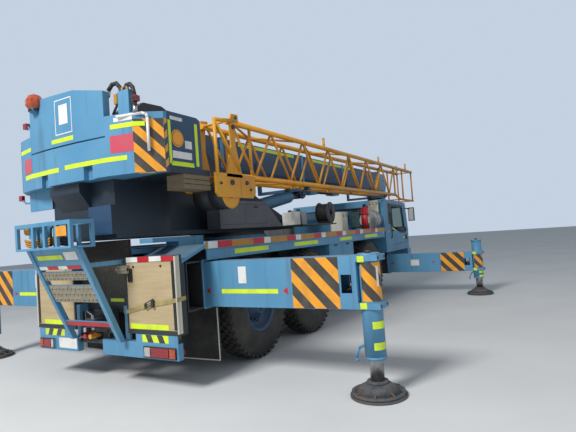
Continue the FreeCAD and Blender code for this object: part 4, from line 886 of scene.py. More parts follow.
# ---- lamps on the counterweight ----
# A turned orange beacon on a rubber foot and red marker lamps, all of clear coloured acrylic on black bases.
bm = bmesh.new()
rod(bm, (-1.060, 0.520, 3.352), (-1.060, 0.520, 3.382), 0.074, 32, 1)
for p, q, r in (((-0.968, -1.080, 3.210), (-0.960, -1.080, 3.210), 0.026), ((-0.903, 0.925, 3.26), (-0.897, 0.925, 3.26), 0.026)):
    rod(bm, p, q, r, 20, 1)
piece("lamp_feet", bm, "upper", ORANGE_LENS, BLACK)


# ---- boom: film, sheaves, hoist rope ----
# Folded high-tensile box sections one in another. Lime strips mark the base, cast nylon sheaves turn in the head
# on a steel pin, and the hoist rope lies from the winch over the boom's back to the head.
bm = bmesh.new()
for s in (-1, 1):
    y = s * 0.300
    for x0, x1 in ((1.95, 3.86), (4.66, 6.93)):
        strip(bm, on_y(y, x0, x1, 3.175, 3.235), (0, s, 0), 2)
film("strips_on_boom", bm, "boom")
bm = bmesh.new()
for x in (1.50, 4.20, 6.30, 8.30):
    for s in (-1, 1):
        block(bm, x - 0.04, x + 0.04, s * 0.3005, s * 0.312, 2.67, 3.235)
    block(bm, x - 0.04, x + 0.04, -0.312, 0.312, 3.256, 3.268)
piece("boom_stiffening_bands", bm, "boom", BLUE, bevel=0.004)
bm = bmesh.new()
for x0, z0, r in ((9.600, 2.570, 0.168), (9.640, 3.110, 0.128)):
    loop = [(r + 0.002, -0.204)]
    for k in range(6):
        y = -0.204 + 0.068 * k
        loop += [(r + 0.002, y + 0.008), (r - 0.022, y + 0.026), (r - 0.022, y + 0.042), (r + 0.002, y + 0.060)]
    loop += [(r + 0.002, 0.204), (0.03, 0.204), (0.03, -0.204)]
    spun(bm, loop, 48, 0, (x0, 0, z0))
    for s in (-1, 1):
        rod(bm, (x0, s * 0.238, z0), (x0, s * 0.256, z0), 0.055, 24, 1)
        rod(bm, (x0, s * 0.254, z0), (x0, s * 0.262, z0), 0.018, 6, 1)
bmesh.ops.recalc_face_normals(bm, faces=bm.faces)


def cast_nylon():
    mat = new_material("cast_nylon_sheave")
    at = add(mat, "TexCoord")
    tone = add(mat, "TexNoise", {"Vector": (at, "Object"), "Scale": 8.0, "Detail": 5.0})
    return surface(mat, stops(add(mat, "ValToRGB", {"Fac": tone}), (0.35, "#2A2C2D"), (0.8, "#4A4A46")), 0.5,
                   add(mat, "Bump", {"Height": tone, "Strength": 0.15, "Distance": 0.002}))


def wire_rope():
    mat = new_material("greased_wire_rope")
    at = add(mat, "TexCoord")
    lay_at = add(mat, "Mapping", {"Vector": (at, "Object"), "Rotation": (0.0, 0.5, 0.0), "Scale": (60.0, 60.0, 60.0)})
    lay = add(mat, "TexWave", {"Vector": lay_at, "Scale": 1.0, "Distortion": 0.5})
    grease = add(mat, "TexNoise", {"Vector": (at, "Object"), "Scale": 9.0, "Detail": 5.0})
    colour = stops(add(mat, "ValToRGB", {"Fac": grease}), (0.35, "#3A3835"), (0.75, "#6E6A62"))
    return surface(mat, colour, 0.45, add(mat, "Bump", {"Height": lay, "Strength": 0.5, "Distance": 0.003}), Metallic=0.7)


NYLON, ROPE = cast_nylon(), wire_rope()
piece("head_sheaves", bm, "head", NYLON, CHROME)
bm = bmesh.new()
rod(bm, (0.30, 0.06, 2.272), (0.09, 0.06, 3.272), 0.009, 8)
rod(bm, (0.09, 0.06, 3.270), (8.86, 0.06, 3.285), 0.009, 8)
for x in (0.09, 3.0, 6.0, 8.80):
    for s in (-1, 1):
        block(bm, x - 0.03, x + 0.03, 0.06 + s * 0.045, 0.06 + s * 0.060, 3.254, 3.31, 1)
    rod(bm, (x, 0.01, 3.262), (x, 0.11, 3.262), 0.008, 10, 1)
piece("hoist_rope_on_boom", bm, "boom", ROPE, DARK)
bm = bmesh.new()
loop = [(0.06, -0.366), (0.255, -0.366), (0.255, -0.352), (0.196, -0.352)]
for k in range(34):
    loop += [(0.194, -0.345 + 0.0203 * k), (0.203, -0.335 + 0.0203 * k)]
loop += [(0.196, 0.352), (0.255, 0.352), (0.255, 0.366), (0.06, 0.366)]
spun(bm, loop, 40, 0, (0.30, 0, 2.080))
bmesh.ops.recalc_face_normals(bm, faces=bm.faces)
piece("rope_wound_on_winch", bm, "upper", ROPE)


# ---- rear end: ladder, bin, bumper ----
# Folded steel ladder with two perforated safety treads, a bin of slings above, and a split bumper with lamps.
# The treads are zinc-plated sheet with punched lugs; lamps are acrylic in black trays; plates are blank.
LZ0, RX = 0.550, -0.700


def lad(z, d=0.0):
    return Vector((RX - 0.060 - (z - LZ0) * 0.446 + d, 0, z))


def zinc():
    mat = new_material("zinc_plated_sheet")
    at = add(mat, "TexCoord")
    bloom = add(mat, "TexNoise", {"Vector": (at, "Object"), "Scale": 11.0, "Detail": 7.0})
    colour = stops(add(mat, "ValToRGB", {"Fac": bloom}), (0.3, "#8C8676"), (0.6, "#A59C86"), (0.8, "#6D6352"))
    return surface(mat, colour, 0.55, add(mat, "Bump", {"Height": bloom, "Strength": 0.2, "Distance": 0.002}), Metallic=0.35)


ZINC = zinc()
UP = (lad(1.0) - lad(0.0)).normalized()
OUT = Vector((-UP.z, 0, UP.x))
bm = bmesh.new()
for za, zb, rows in ((1.045, 1.245, 3), (1.310, 1.405, 2)):
    a, b = lad(za) + OUT * 0.0125, lad(zb) + OUT * 0.0125
    vs = [bm.verts.new(p) for p in ((a.x, -0.398, a.z), (a.x, 0.398, a.z), (b.x, 0.398, b.z), (b.x, -0.398, b.z))]
    f = bm.faces.new(vs)
    got = bmesh.ops.extrude_face_region(bm, geom=[f])
    bmesh.ops.translate(bm, verts=[g for g in got["geom"] if isinstance(g, bmesh.types.BMVert)], vec=OUT * 0.003)
    for r in range(rows):
        p = a.lerp(b, (r + 0.5) / rows) + OUT * 0.003
        for k in range(11):
            y = -0.36 + 0.072 * k
            rod(bm, (p.x, y, p.z), (p.x + OUT.x * 0.009, y, p.z + OUT.z * 0.009), 0.020, 12, 0, 0.013)
            rod(bm, (p.x + OUT.x * 0.008, y, p.z + OUT.z * 0.008), (p.x + OUT.x * 0.0095, y, p.z + OUT.z * 0.0095), 0.008, 10, 1)
bmesh.ops.recalc_face_normals(bm, faces=bm.faces)
piece("safety_treads", bm, "carrier", ZINC, BLACK)

bm = bmesh.new()
# lime and red and white strips on the sloping fascia, plain white panel beside them
for z0, z1, y0, y1, slot in ((1.555, 1.605, -0.12, 0.34, 2), (1.545, 1.635, -0.39, -0.16, 3), (1.440, 1.480, 0.24, 0.39, 3), (1.440, 1.480, 0.04, 0.24, 4),
                             (1.440, 1.480, -0.12, 0.04, 3), (1.440, 1.480, -0.36, -0.12, 4)):
    a, b = lad(z0) + OUT * 0.0155, lad(z1) + OUT * 0.0155
    strip(bm, [(a.x, y0, a.z), (a.x, y1, a.z), (b.x, y1, b.z), (b.x, y0, b.z)], OUT, slot)
a, b = lad(0.745) + OUT * 0.0185, lad(0.795) + OUT * 0.0185
strip(bm, [(a.x, -0.39, a.z), (a.x, 0.39, a.z), (b.x, 0.39, b.z), (b.x, -0.39, b.z)], OUT, 4)
# bumper: bars over the right lamp, blank plate on the left
hazard(bm, on_x(RX, -1.108, -0.705, 0.553, 0.636), (-1, 0, 0), 5, 0.45, (2, 1))
hazard(bm, on_x(RX, 0.705, 1.108, 0.553, 0.636), (-1, 0, 0), 5, -0.45, (2, 1))
strip(bm, on_x(RX, 0.47, 0.83, 0.40, 0.53), (-1, 0, 0), 3)
strip(bm, on_x(-1.390, -0.44, -0.26, 1.80, 1.905), (-1, 0, 0), 0)
strip(bm, on_x(-0.580, -0.06, -0.30, 0.98, 1.02), (-1, 0, 0), 2)
film("film_on_rear_end", bm, "carrier")

bm = bmesh.new()
for s in (-1, 1):
    y0 = 0.74 if s < 0 else 0.92
    block(bm, RX - 0.019, RX, s * (y0 - 0.012), s * 1.218, 0.388, 0.510, 3)
    cells = ((1.218, 1.12, 0), (1.12, 0.84, 1), (0.84, y0, 2)) if s < 0 else ((1.212, 1.14, 0), (1.14, 0.98, 1), (0.98, y0, 2))
    for a, b, slot in cells:
        block(bm, RX - 0.026, RX - 0.016, s * (min(a, b) + 0.006), s * (max(a, b) - 0.006), 0.398, 0.500, slot)
    block(bm, RX + 0.085, RX + 0.10, s * 1.236, s * 1.244, 0.42, 0.48, 1)
piece("rear_lamp_clusters", bm, "carrier", ORANGE_LENS, RED_LENS, CLEAR_LENS, BLACK, bevel=0.003)

# tow coupling with its jaw, air couplings and their cross bar, between the bumper halves
bm = bmesh.new()
block(bm, -0.660, -0.560, -0.16, 0.16, 0.62, 0.90)
rod(bm, (-0.72, 0, 0.76), (-0.58, 0, 0.76), 0.075, 24)
for z in (0.715, 0.79):
    block(bm, -0.85, -0.70, -0.09, 0.09, z, z + 0.024)
rod(bm, (-0.80, 0, 0.68), (-0.80, 0, 0.86), 0.024, 16, 1)
rod(bm, (-0.80, 0, 0.85), (-0.80, 0.10, 0.90), 0.012, 10, 1)
rod(bm, (-0.64, 0.02, 0.50), (-0.64, 0.45, 0.50), 0.025, 12)
for y, slot in ((0.16, 2), (0.26, 3), (0.36, 1)):
    rod(bm, (-0.74, y, 0.575), (-0.60, y, 0.575), 0.030, 16, slot)
    rod(bm, (-0.63, y, 0.50), (-0.63, y, 0.58), 0.016, 10)
tube_along(bm, [(-0.60, 0.16, 0.575), (-0.585, 0.20, 0.70), (-0.585, 0.28, 0.85)], 0.014, 10, 4)
tube_along(bm, [(-0.60, 0.36, 0.575), (-0.585, 0.36, 0.72), (-0.585, 0.33, 0.88)], 0.014, 10, 4)
for y in (-0.10, 0.14):
    block(bm, -0.66, -0.56, y, y + 0.03, 0.48, 0.66)
piece("tow_coupling", bm, "carrier", DARK, CHROME, YELLOW, RED, HOSE, bevel=0.003)


# rough dark plate behind the ladder, grit-coated against slipping
def grit_paint():
    mat = new_material("grit_coated_steel")
    at = add(mat, "TexCoord")
    grit = add(mat, "TexNoise", {"Vector": (at, "Object"), "Scale": 45.0, "Detail": 8.0, "Roughness": 0.75})
    colour = stops(add(mat, "ValToRGB", {"Fac": grit}), (0.35, "#3B3A36"), (0.6, "#57534B"), (0.8, "#6E685C"))
    return surface(mat, colour, 0.9, add(mat, "Bump", {"Height": grit, "Strength": 0.7, "Distance": 0.004}))


bm = bmesh.new()
block(bm, -0.588, -0.5815, -0.470, 0.470, 1.06, 1.722)
for y in (-0.46, 0.44):
    block(bm, -0.594, -0.5795, y, y + 0.02, 0.955, 1.722, 1)
piece("anti_slip_plate", bm, "carrier", grit_paint(), DARK)

# slings, shackles and a snatch block lying in the bin
bm = bmesh.new()
for k, (x, y, z, r, slot) in enumerate(((-1.24, 0.33, 1.72, 0.10, 0), (-1.22, 0.05, 1.73, 0.09, 1), (-1.25, -0.18, 1.72, 0.08, 2))):
    for ring in range(3):
        steps = [(x + r * (1 + 0.06 * ring) * math.cos(a), y + r * (1 + 0.06 * ring) * math.sin(a), z + 0.028 * ring + 0.01 * math.sin(3 * a + k))
                 for a in [2 * math.pi * i / 14 for i in range(15)]]
        tube_along(bm, steps, 0.014, 8, slot)
block(bm, -1.31, -1.13, 0.20, 0.36, 1.80, 1.93, 3)
rod(bm, (-1.30, 0.42, 1.90), (-1.14, 0.42, 1.90), 0.055, 20, 1)
rod(bm, (-1.26, 0.12, 1.70), (-1.26, 0.12, 1.92), 0.06, 20, 3)
for x in (-1.30, -1.16):
    tube_along(bm, [(x, -0.02, 1.70), (x, -0.05, 1.90), (x, -0.14, 1.94), (x, -0.20, 1.78)], 0.010, 8, 2)
piece("slings_in_bin", bm, "carrier", tape("woven_sling_webbing", "#C98A1E", "#8F6A2E"), YELLOW, DARK, BLUE)

# holders' cream outer cheeks and bolts on the mats, clasp, and the lashing strap with its ratchet
bm = bmesh.new()
for s in (-1, 1):
    y = s * 1.271
    block(bm, -0.699, -0.640, s * 1.2705, s * 1.2735, 0.66, 1.505)
    rod(bm, (-0.697, s * 1.262, 0.66), (-0.697, s * 1.262, 1.50), 0.0105, 12)
    block(bm, -0.700, -0.690, s * 1.205, s * 1.2455, 0.70, 1.448, 1)
    for dy in (0.62, 1.05):
        rod(bm, (-0.704, s * dy, 1.40), (-0.690, s * dy, 1.40), 0.014, 6, 1)
block(bm, -0.712, -0.696, -0.60, -0.53, 1.23, 1.38, 1)
block(bm, -0.742, -0.700, -0.56, -0.40, 1.33, 1.42, 2)
rod(bm, (-0.735, -0.56, 1.375), (-0.735, -0.38, 1.375), 0.018, 12, 2)
for s in (-1, 1):
    tube_along(bm, [(-0.0055, s * 1.235, 0.83), (-0.0055, s * 1.235, 0.20), (-0.0055, s * 0.64, 0.19)], 0.0085, 10)
piece("mat_holder_fittings", bm, "carrier", CREAM, BLACK, ZINC, bevel=0.002)
bm = bmesh.new()
run = [(-0.7035, -0.470, 0.862), (-0.7035, -0.780, 0.925), (-0.7035, -0.960, 0.955), (-0.7035, -1.274, 1.005)]
for (xa, ya, za), (xb, yb, zb) in zip(run, run[1:]):
    f = bm.faces.new([bm.verts.new(p) for p in ((xa, ya, za), (xb, yb, zb), (xb, yb, zb + 0.046), (xa, ya, za + 0.046))])
f = bm.faces.new([bm.verts.new(p) for p in ((-0.7035, -1.2745, 1.005), (-0.565, -1.2745, 1.010), (-0.565, -1.2745, 1.056), (-0.7035, -1.2745, 1.051))])
bmesh.ops.remove_doubles(bm, verts=bm.verts, dist=1e-4)
bmesh.ops.solidify(bm, geom=bm.faces, thickness=0.003)
for f in bm.faces:
    f.material_index = 0
for dz in (0.0, 0.05):
    rod(bm, (-0.722, -0.79, 0.93 + dz), (-0.722, -0.93, 0.985 + dz * 1.1), 0.006, 8, 1)
block(bm, -0.730, -0.706, -0.935, -0.90, 0.945, 1.03, 1)
rod(bm, (-0.718, -0.80, 0.945), (-0.718, -0.80, 0.99), 0.012, 12, 1)
bmesh.ops.recalc_face_normals(bm, faces=bm.faces)
piece("lashing_strap", bm, "carrier", tape("woven_polyester_strap", "#A99A62", "#7F7448", 0.8), DARK)


# ---- deck gear ----
# Grey sheet steel locker, drum of hose, cans and filter on a tray, cream lockers, extinguisher, silencer, hood.
# Each is bolted to the deck or to the upper frame; lids have seams, latches and hinges.
bm = bmesh.new()
T0, T1, TZ = 2.430, 3.780, 1.770
block(bm, T0, T1, -1.180, -0.560, TZ, TZ + 0.024, 1)
for s, (x0, x1, y0, y1, top, slot) in enumerate(((2.470, 2.670, -1.000, -0.760, 2.050, 0), (2.730, 2.890, -1.010, -0.800, 2.070, 2))):
    vs = block(bm, x0, x1, y0, y1, TZ + 0.024, top - 0.035, slot)
    rod(bm, (x0 + 0.06, (y0 + y1) / 2, top - 0.04), (x0 + 0.06, (y0 + y1) / 2, top), 0.030, 20, 1)
    tube_along(bm, [(x0 + 0.09, (y0 + y1) / 2, top - 0.035), (x0 + 0.10, (y0 + y1) / 2, top - 0.010), (x1 - 0.03, (y0 + y1) / 2, top - 0.010),
                    (x1 - 0.02, (y0 + y1) / 2, top - 0.035)], 0.009, 10, slot)
    for z in (1.86, 1.93):
        block(bm, x0 - 0.002, x1 + 0.002, y0 - 0.002, y1 + 0.002, z, z + 0.012, slot)
DX, DY, DZ = 3.570, -1.055, 1.994
spun(bm, [(0.200, -0.115), (0.200, -0.103), (0.150, -0.098), (0.150, 0.098), (0.200, 0.103), (0.200, 0.115), (0.05, 0.115), (0.05, -0.115)], 40, 1, (DX, DY, DZ))
for k in range(9):
    b = -0.086 + 0.0215 * k
    for a in range(24):
        c0, c1 = 2 * math.pi * a / 24, 2 * math.pi * (a + 1) / 24
        rod(bm, (DX + 0.162 * math.cos(c0), DY + b, DZ + 0.162 * math.sin(c0)), (DX + 0.162 * math.cos(c1), DY + b, DZ + 0.162 * math.sin(c1)), 0.011, 8, 3)
for a in range(6):
    c = math.pi * a / 3
    for b in (-0.116, 0.116):
        rod(bm, (DX + 0.04 * math.cos(c), DY + b, DZ + 0.04 * math.sin(c)), (DX + 0.19 * math.cos(c), DY + b, DZ + 0.19 * math.sin(c)), 0.008, 8, 1)
block(bm, 3.480, 3.660, -1.160, -0.950, TZ + 0.024, 1.84, 1)
bmesh.ops.recalc_face_normals(bm, faces=bm.faces)
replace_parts(piece("hose_drum_and_cans", bm, "upper", tape("white_polythene_can", "#D9D8D2", "#B5B1A6", 0.5), BLACK, GREY, HOSE, bevel=0.006), "hose_shelf")

bm = bmesh.new()
rod(bm, (5.480, -1.115, 1.600), (5.480, -1.115, 2.085), 0.0862, 40)
rod(bm, (5.480, -1.115, 2.085), (5.480, -1.115, 2.125), 0.0862, 40, 0, 0.045)
rod(bm, (5.480, -1.115, 2.12), (5.480, -1.115, 2.190), 0.0355, 20, 1)
for z in (1.70, 1.95):
    rod(bm, (5.480, -1.115, z), (5.480, -1.115, z + 0.025), 0.0885, 40, 1)
block(bm, 5.43, 5.53, -1.2035, -1.199, 1.76, 1.90, 2)
tube_along(bm, [(5.480, -1.115, 2.16), (5.56, -1.14, 2.15), (5.585, -1.15, 2.05), (5.575, -1.16, 1.80)], 0.010, 10, 1)
block(bm, 5.42, 5.50, -1.13, -1.10, 2.165, 2.180, 1)
piece("extinguisher_bottle", bm, "carrier", RED, BLACK, CREAM)
dress(RED, "extinguisher")

softened("exhaust", "carrier", (SILVER, CREAM), 0.004, lambda c, n: int(c.z > 2.06))
bm = bmesh.new()
rod(bm, (5.979, -1.0, 1.840), (6.361, -1.0, 1.840), 0.2135, 48)
rod(bm, (5.974, -1.0, 1.840), (5.981, -1.0, 1.840), 0.175, 48)
rod(bm, (5.970, -1.0, 1.840), (5.976, -1.0, 1.840), 0.06, 24)
for x in (6.04, 6.28):
    rod(bm, (x, -1.0, 1.840), (x + 0.03, -1.0, 1.840), 0.2165, 48, 1)
for y in (-1.11, -1.02, -0.94):
    for z in (2.20, 2.24):
        block(bm, 6.297, 6.301, y - 0.03, y + 0.02, z, z + 0.012, 1)
piece("silencer_drum", bm, "carrier", SILVER, DARK)

bm = bmesh.new()
for s in (-1, 1):
    # grey locker of the upper works: lid seam, latch; carrier lockers: door seams, hinges, latch
    if s < 0:
        for x0, x1, z0, z1 in ((0.76, 1.30, 1.84, 2.14), (1.34, 1.90, 1.84, 2.14)):
            for a in (on_y(-0.805, x0, x1, z0, z0 + 0.006), on_y(-0.805, x0, x1, z1, z1 + 0.006), on_y(-0.805, x0, x0 + 0.006, z0, z1),
                      on_y(-0.805, x1, x1 + 0.006, z0, z1)):
                strip(bm, a, (0, -1, 0), 0, 0.5)
            block(bm, (x0 + x1) / 2 - 0.05, (x0 + x1) / 2 + 0.05, -0.816, -0.804, z1 - 0.05, z1 - 0.02)
piece("locker_seams_upper", bm, "upper", BLACK)
bm = bmesh.new()
for s in (-1, 1):
    y = s * 1.225
    for x0, x1 in ((3.32, 3.82), (3.86, 4.38)):
        for a in (on_y(y, x0, x1, 1.03, 1.036), on_y(y, x0, x1, 1.42, 1.426), on_y(y, x0, x0 + 0.006, 1.03, 1.42), on_y(y, x1, x1 + 0.006, 1.03, 1.426)):
            strip(bm, a, (0, s, 0), 0, 0.5)
        block(bm, (x0 + x1) / 2 - 0.06, (x0 + x1) / 2 + 0.06, y, y + s * 0.012, 1.36, 1.39)
        for x in (x0 + 0.06, x1 - 0.10):
            rod(bm, (x, y + s * 0.006, 1.045), (x + 0.05, y + s * 0.006, 1.045), 0.008, 10)
# cream lockers: lid line and clasps
for x0, x1, y0, y1, z in ((4.690, 5.000, -0.900, -0.620, 2.030), (4.690, 5.600, 0.620, 1.100, 1.950)):
    block(bm, x0 - 0.003, x1 + 0.003, y0 - 0.003, y1 + 0.003, z - 0.075, z - 0.068, 1)
    for x in (x0 + 0.06, x1 - 0.10):
        yo = y0 if y0 < 0 else y1
        block(bm, x, x + 0.035, yo - 0.010, yo + 0.010, z - 0.11, z - 0.04, 2)
# hood louvres and the engine's air cleaner lid
for x in range(9):
    for s in (-1, 1):
        block(bm, 5.30 + 0.09 * x, 5.35 + 0.09 * x, s * 0.478, s * 0.488, 1.76, 2.00, 0)
rod(bm, (5.70, -0.2, 2.078), (5.70, -0.2, 2.094), 0.12, 32, 1)
piece("locker_seams_carrier", bm, "carrier", BLACK, CREAM, ZINC, bevel=0.002)


# ---- cabs outside ----
# Blue steel cabs with bonded glass: rubber gaskets, black glass-edge film, wipers, lamps, grilles and steps.
# Rubber and moulded plastic are black and dull, lamps are acrylic in black trays, the film is glossy.
def black_film():
    mat = new_material("black_glass_edge_film")
    at = add(mat, "TexCoord")
    dust = add(mat, "TexNoise", {"Vector": (at, "Object"), "Scale": 4.0, "Detail": 6.0})
    colour = stops(add(mat, "ValToRGB", {"Fac": dust}), (0.4, "#1A2224"), (0.8, "#2E3838"))
    return surface(mat, colour, add(mat, "MapRange", {"Value": dust, "To Min": 0.45, "To Max": 0.7}))


GLASS_EDGE = black_film()


def gasket(bm, pts, r=0.010, slot=0):
    tube_along(bm, pts + [pts[0], pts[1]], r, 8, slot)


CAB = 1.250
for side, s in SIDES:
    bm = bmesh.new()
    y = s * CAB
    # the real door's glass reaches down in a slope; film round the cut window gives that outline
    for ring in ([(6.915, 1.680), (6.990, 1.605), (6.990, 2.135), (6.915, 2.205)], [(6.915, 2.205), (6.990, 2.132), (7.852, 2.122), (7.885, 2.180)],
                 [(7.962, 1.608), (8.040, 1.560), (7.885, 2.180), (7.852, 2.122)], [(6.915, 1.680), (7.560, 1.470), (8.020, 1.450), (8.040, 1.560), (7.962, 1.608), (6.990, 1.605)]):
        strip(bm, [(x, y, z) for x, z in ring], (0, s, 0), 1, 0.6)
    strip(bm, [(6.925, y, 1.655), (7.190, y, 1.570), (7.190, y, 1.525), (6.925, y, 1.610)], (0, s, 0), 2, 1.2)
    strip(bm, on_y(y, 7.780, 8.000, 1.320, 1.355), (0, s, 0), 2)
    gasket(bm, [(6.990, y, 1.610), (7.960, y, 1.610), (7.850, y, 2.120), (6.990, y, 2.130)])
    rod(bm, (6.950, y + s * 0.035, 1.545), (7.010, y + s * 0.035, 1.545), 0.009, 10)
    piece("door_film_and_gasket_" + side, bm, "cab_door_" + side, FLAP, GLASS_EDGE, LIME)

bm = bmesh.new()


def nose(z):
    """x of the cab's leaning front above the belt"""
    return 8.330 - 0.1944 * (z - 1.530)


gasket(bm, [(nose(1.61), -1.13, 1.61), (nose(1.61), 1.13, 1.61), (nose(2.15), 1.13, 2.15), (nose(2.15), -1.13, 2.15)], 0.012)
gasket(bm, [(6.430, -1.0, 1.67), (6.430, 1.0, 1.67), (6.437, 1.0, 2.15), (6.437, -1.0, 2.15)], 0.012)
for s in (-1, 1):
    y = s * CAB
    # black film behind the door: partly the dark panel there, partly painted shade that darkens the cab's side
    strip(bm, [(6.700, y, 1.72), (6.892, y, 1.680), (6.892, y, 2.21), (6.700, y, 2.235)], (0, s, 0), 1, 0.6)
    for x in (6.62, 6.21):
        strip(bm, on_y(s * (CAB if x > 6.4 else 1.251), x, x + 0.06, 1.505, 1.545), (0, s, 0), 2, 1.2)
    # wiper, steps with pierced treads, grab rail, mirror glass, side lamp
    rod(bm, (nose(1.585) + 0.012, s * 0.30, 1.585), (nose(2.00) + 0.014, s * 0.62, 2.00), 0.008, 8)
    rod(bm, (nose(1.68) + 0.012, s * 0.52, 1.68), (nose(2.10) + 0.012, s * 0.70, 2.10), 0.010, 8)
    rod(bm, (8.30, s * 0.30, 1.585), (nose(1.585) + 0.02, s * 0.30, 1.585), 0.016, 12)
    for z in (1.16, 1.08):
        block(bm, 6.98, 7.42, s * 1.238, s * 1.262, z - 0.004, z + 0.004, 3)
    tube_along(bm, [(6.800, s * 1.250, 1.36), (6.800, s * 1.285, 1.38), (6.800, s * 1.285, 1.96), (6.800, s * 1.250, 1.98)], 0.011, 10, 0)
    block(bm, 8.1935, 8.1965, s * 1.335, s * 1.465, 1.78, 2.10, 4)
    block(bm, 8.17, 8.25, s * 1.2495, s * 1.262, 1.24, 1.28, 5)
# front: grille bars, badge-free panel line, washer nozzles, roof hatch and marker lamps
for k in range(6):
    block(bm, 8.292 + 0.006 * k, 8.312 + 0.0056 * k, -0.62, 0.62, 1.16 + 0.05 * k, 1.18 + 0.05 * k)
block(bm, 7.20, 7.75, -0.30, 0.30, 2.262, 2.300, 0)
for y in (-0.95, -0.32, 0.32, 0.95):
    block(bm, 8.06, 8.14, y - 0.05, y + 0.05, 2.245, 2.285, 5)
for s in (-1, 1):
    # head lamps and indicators in the bumper's trays, fog lamps below, blank number plate between
    block(bm, 8.4545, 8.462, s * 0.865, s * 1.235, 0.655, 0.785, 0)
    for a, b, slot in ((0.88, 1.01, 6), (1.02, 1.13, 6), (1.14, 1.225, 5)):
        block(bm, 8.460, 8.470, s * a, s * b, 0.665, 0.775, slot)
    rod(bm, (8.438, s * 0.72, 0.60), (8.452, s * 0.72, 0.60), 0.055, 24, 6)
block(bm, 8.4385, 8.444, -0.26, 0.26, 0.66, 0.77, 4)
block(bm, 8.4385, 8.446, -0.60, 0.60, 0.84, 0.95, 0)
piece("cab_outside_fittings", bm, "carrier", FLAP, GLASS_EDGE, LIME, ZINC, WHITE, ORANGE_LENS, CLEAR_LENS)

# operator's cab: gaskets, wiper, roof guard bars, door handle and the seat's two lever consoles
bm = bmesh.new()


def brow(z):
    return 3.6 - 0.2325 * (2.23 - z) if z < 2.23 else 3.6 - 0.2178 * (z - 2.23)


gasket(bm, [(brow(1.97), 0.57, 1.97), (brow(1.97), 1.11, 1.97), (3.6, 1.11, 2.23), (brow(3.10), 1.11, 3.10), (brow(3.10), 0.57, 3.10), (3.6, 0.57, 2.23)])
gasket(bm, [(2.30, 0.48, 2.27), (3.38, 0.48, 2.27), (3.24, 0.48, 3.10), (2.30, 0.48, 3.10)])
gasket(bm, [(2.30, 0.58, 3.24), (3.20, 0.58, 3.24), (3.20, 1.10, 3.24), (2.30, 1.10, 3.24)])
rod(bm, (brow(2.30) + 0.012, 0.84, 2.30), (brow(2.95) + 0.014, 0.72, 2.95), 0.008, 8)
rod(bm, (brow(2.55) + 0.012, 0.76, 2.55), (brow(3.05) + 0.012, 0.68, 3.05), 0.010, 8)
for k in range(5):
    rod(bm, (2.26, 0.64 + 0.10 * k, 3.262), (3.24, 0.64 + 0.10 * k, 3.262), 0.009, 8)
for x in (2.27, 3.23):
    rod(bm, (x, 0.56, 3.252), (x, 1.12, 3.252), 0.010, 8)
for y in (0.60, 1.07):
    block(bm, 2.42, 2.92, y - 0.045, y + 0.045, 2.30, 2.40)
    rod(bm, (2.84, y, 2.40), (2.87, y, 2.52), 0.010, 8)
    bmesh.ops.create_uvsphere(bm, u_segments=12, v_segments=8, radius=0.026, matrix=Matrix.Translation((2.873, y, 2.53)))
    block(bm, 2.46, 2.56, y - 0.02, y + 0.02, 2.08, 2.31)
for z in (2.00, 2.12, 2.24):
    block(bm, 2.094, 2.101, 0.62, 1.06, z, z + 0.05)
piece("operator_cab_fittings", bm, "upper", FLAP)
bm = bmesh.new()
gasket(bm, [(2.34, 1.20, 2.22), (3.34, 1.20, 2.22), (3.37, 1.20, 2.30), (3.21, 1.20, 3.04), (2.34, 1.20, 3.04)])
rod(bm, (2.33, 1.232, 2.13), (2.47, 1.232, 2.13), 0.010, 10)
for x in (2.34, 2.46):
    rod(bm, (x, 1.198, 2.13), (x, 1.234, 2.13), 0.010, 10)
piece("operator_door_fittings", bm, "operator_door", FLAP)


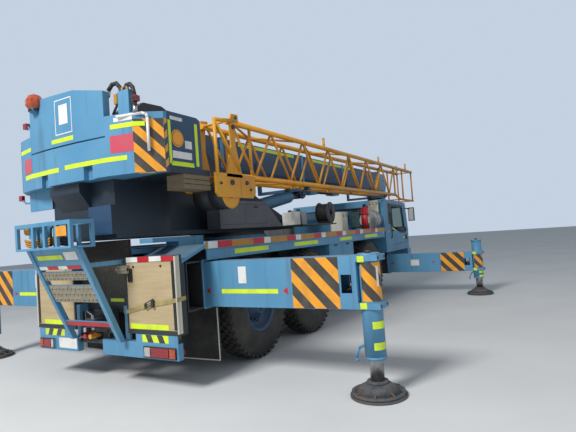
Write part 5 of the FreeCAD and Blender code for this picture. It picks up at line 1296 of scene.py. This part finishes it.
# ---- underneath ----
# Prop shafts between engine, gearbox and axles, two air tanks, brake hoses along the rails and axle differentials.
# Tubes are dark painted steel, universal joints bare and greasy; pipes are clipped to the rails' inside.
bm = bmesh.new()
for p, q in (((1.02, 0, 0.80), (2.38, 0, 0.80)), ((2.60, 0, 0.80), (3.55, 0, 0.86)), ((4.10, 0, 0.86), (5.18, 0, 0.80))):
    rod(bm, p, q, 0.045, 20)
    for e, o in ((p, q), (q, p)):
        d = (Vector(o) - Vector(e)).normalized()
        rod(bm, Vector(e) - d * 0.05, Vector(e) + d * 0.07, 0.062, 12, 1)
block(bm, 3.55, 4.10, -0.17, 0.17, 0.72, 1.05)
rod(bm, (3.60, 0.0, 0.74), (3.60, 0.0, 0.70), 0.05, 12, 1)
for s in (-1, 1):
    for x in (1.45, 3.05):
        rod(bm, (x, s * 0.30, 1.02), (x + 0.55, s * 0.30, 1.02), 0.095, 28)
        for dx in (0.10, 0.42):
            rod(bm, (x + dx, s * 0.30, 1.02), (x + dx + 0.03, s * 0.30, 1.02), 0.0985, 28, 1)
    for k in range(3):
        tube_along(bm, [(0.30, s * (0.355 - 0.03 * k), 1.30), (1.6, s * (0.355 - 0.03 * k), 1.28), (4.4, s * (0.355 - 0.03 * k), 1.30), (6.2, s * (0.355 - 0.03 * k), 1.27)],
                   0.011, 8, 2)
piece("shafts_tanks_and_pipes", bm, "carrier", DARK, CHROME, HOSE)

# ---- boom and slew details ----
# A light blue stiffener and the valve with its pipes under the boom, and the hose loop that feeds the derricking cylinder.
# Painted steel and hydraulic hose, bolted to the boom's base and to the upper frame.
bm = bmesh.new()
for s in (-1, 1):
    block(bm, 4.160, 4.250, s * 0.3005, s * 0.313, 2.700, 2.960)
for k in range(3):
    tube_along(bm, [(4.95, -0.07 + 0.07 * k, 2.590), (5.05, -0.07 + 0.07 * k, 2.560), (6.40, -0.07 + 0.07 * k, 2.560), (6.50, -0.07 + 0.07 * k, 2.600)], 0.016, 10, 1)
block(bm, 4.87, 5.20, -0.12, 0.12, 2.500, 2.608)
block(bm, 6.10, 6.45, -0.10, 0.10, 2.520, 2.608)
piece("valves_under_boom", bm, "boom", BLUE, HOSE, bevel=0.004)
bm = bmesh.new()
for k in range(4):
    y = -0.30 + 0.05 * k
    tube_along(bm, [(0.60, y, 1.86), (0.90, y - 0.01, 2.05), (1.20, y, 1.95), (1.42, y, 1.86)], 0.015, 10)
for k in range(5):
    tube_along(bm, [(2.50 + 0.02 * k, -0.46 - 0.02 * k, 1.83), (2.9, -0.47 - 0.02 * k, 1.90 + 0.02 * k), (3.10, -0.45, 1.83)], 0.012, 10)
piece("hydraulic_hoses_upper", bm, "upper", HOSE)
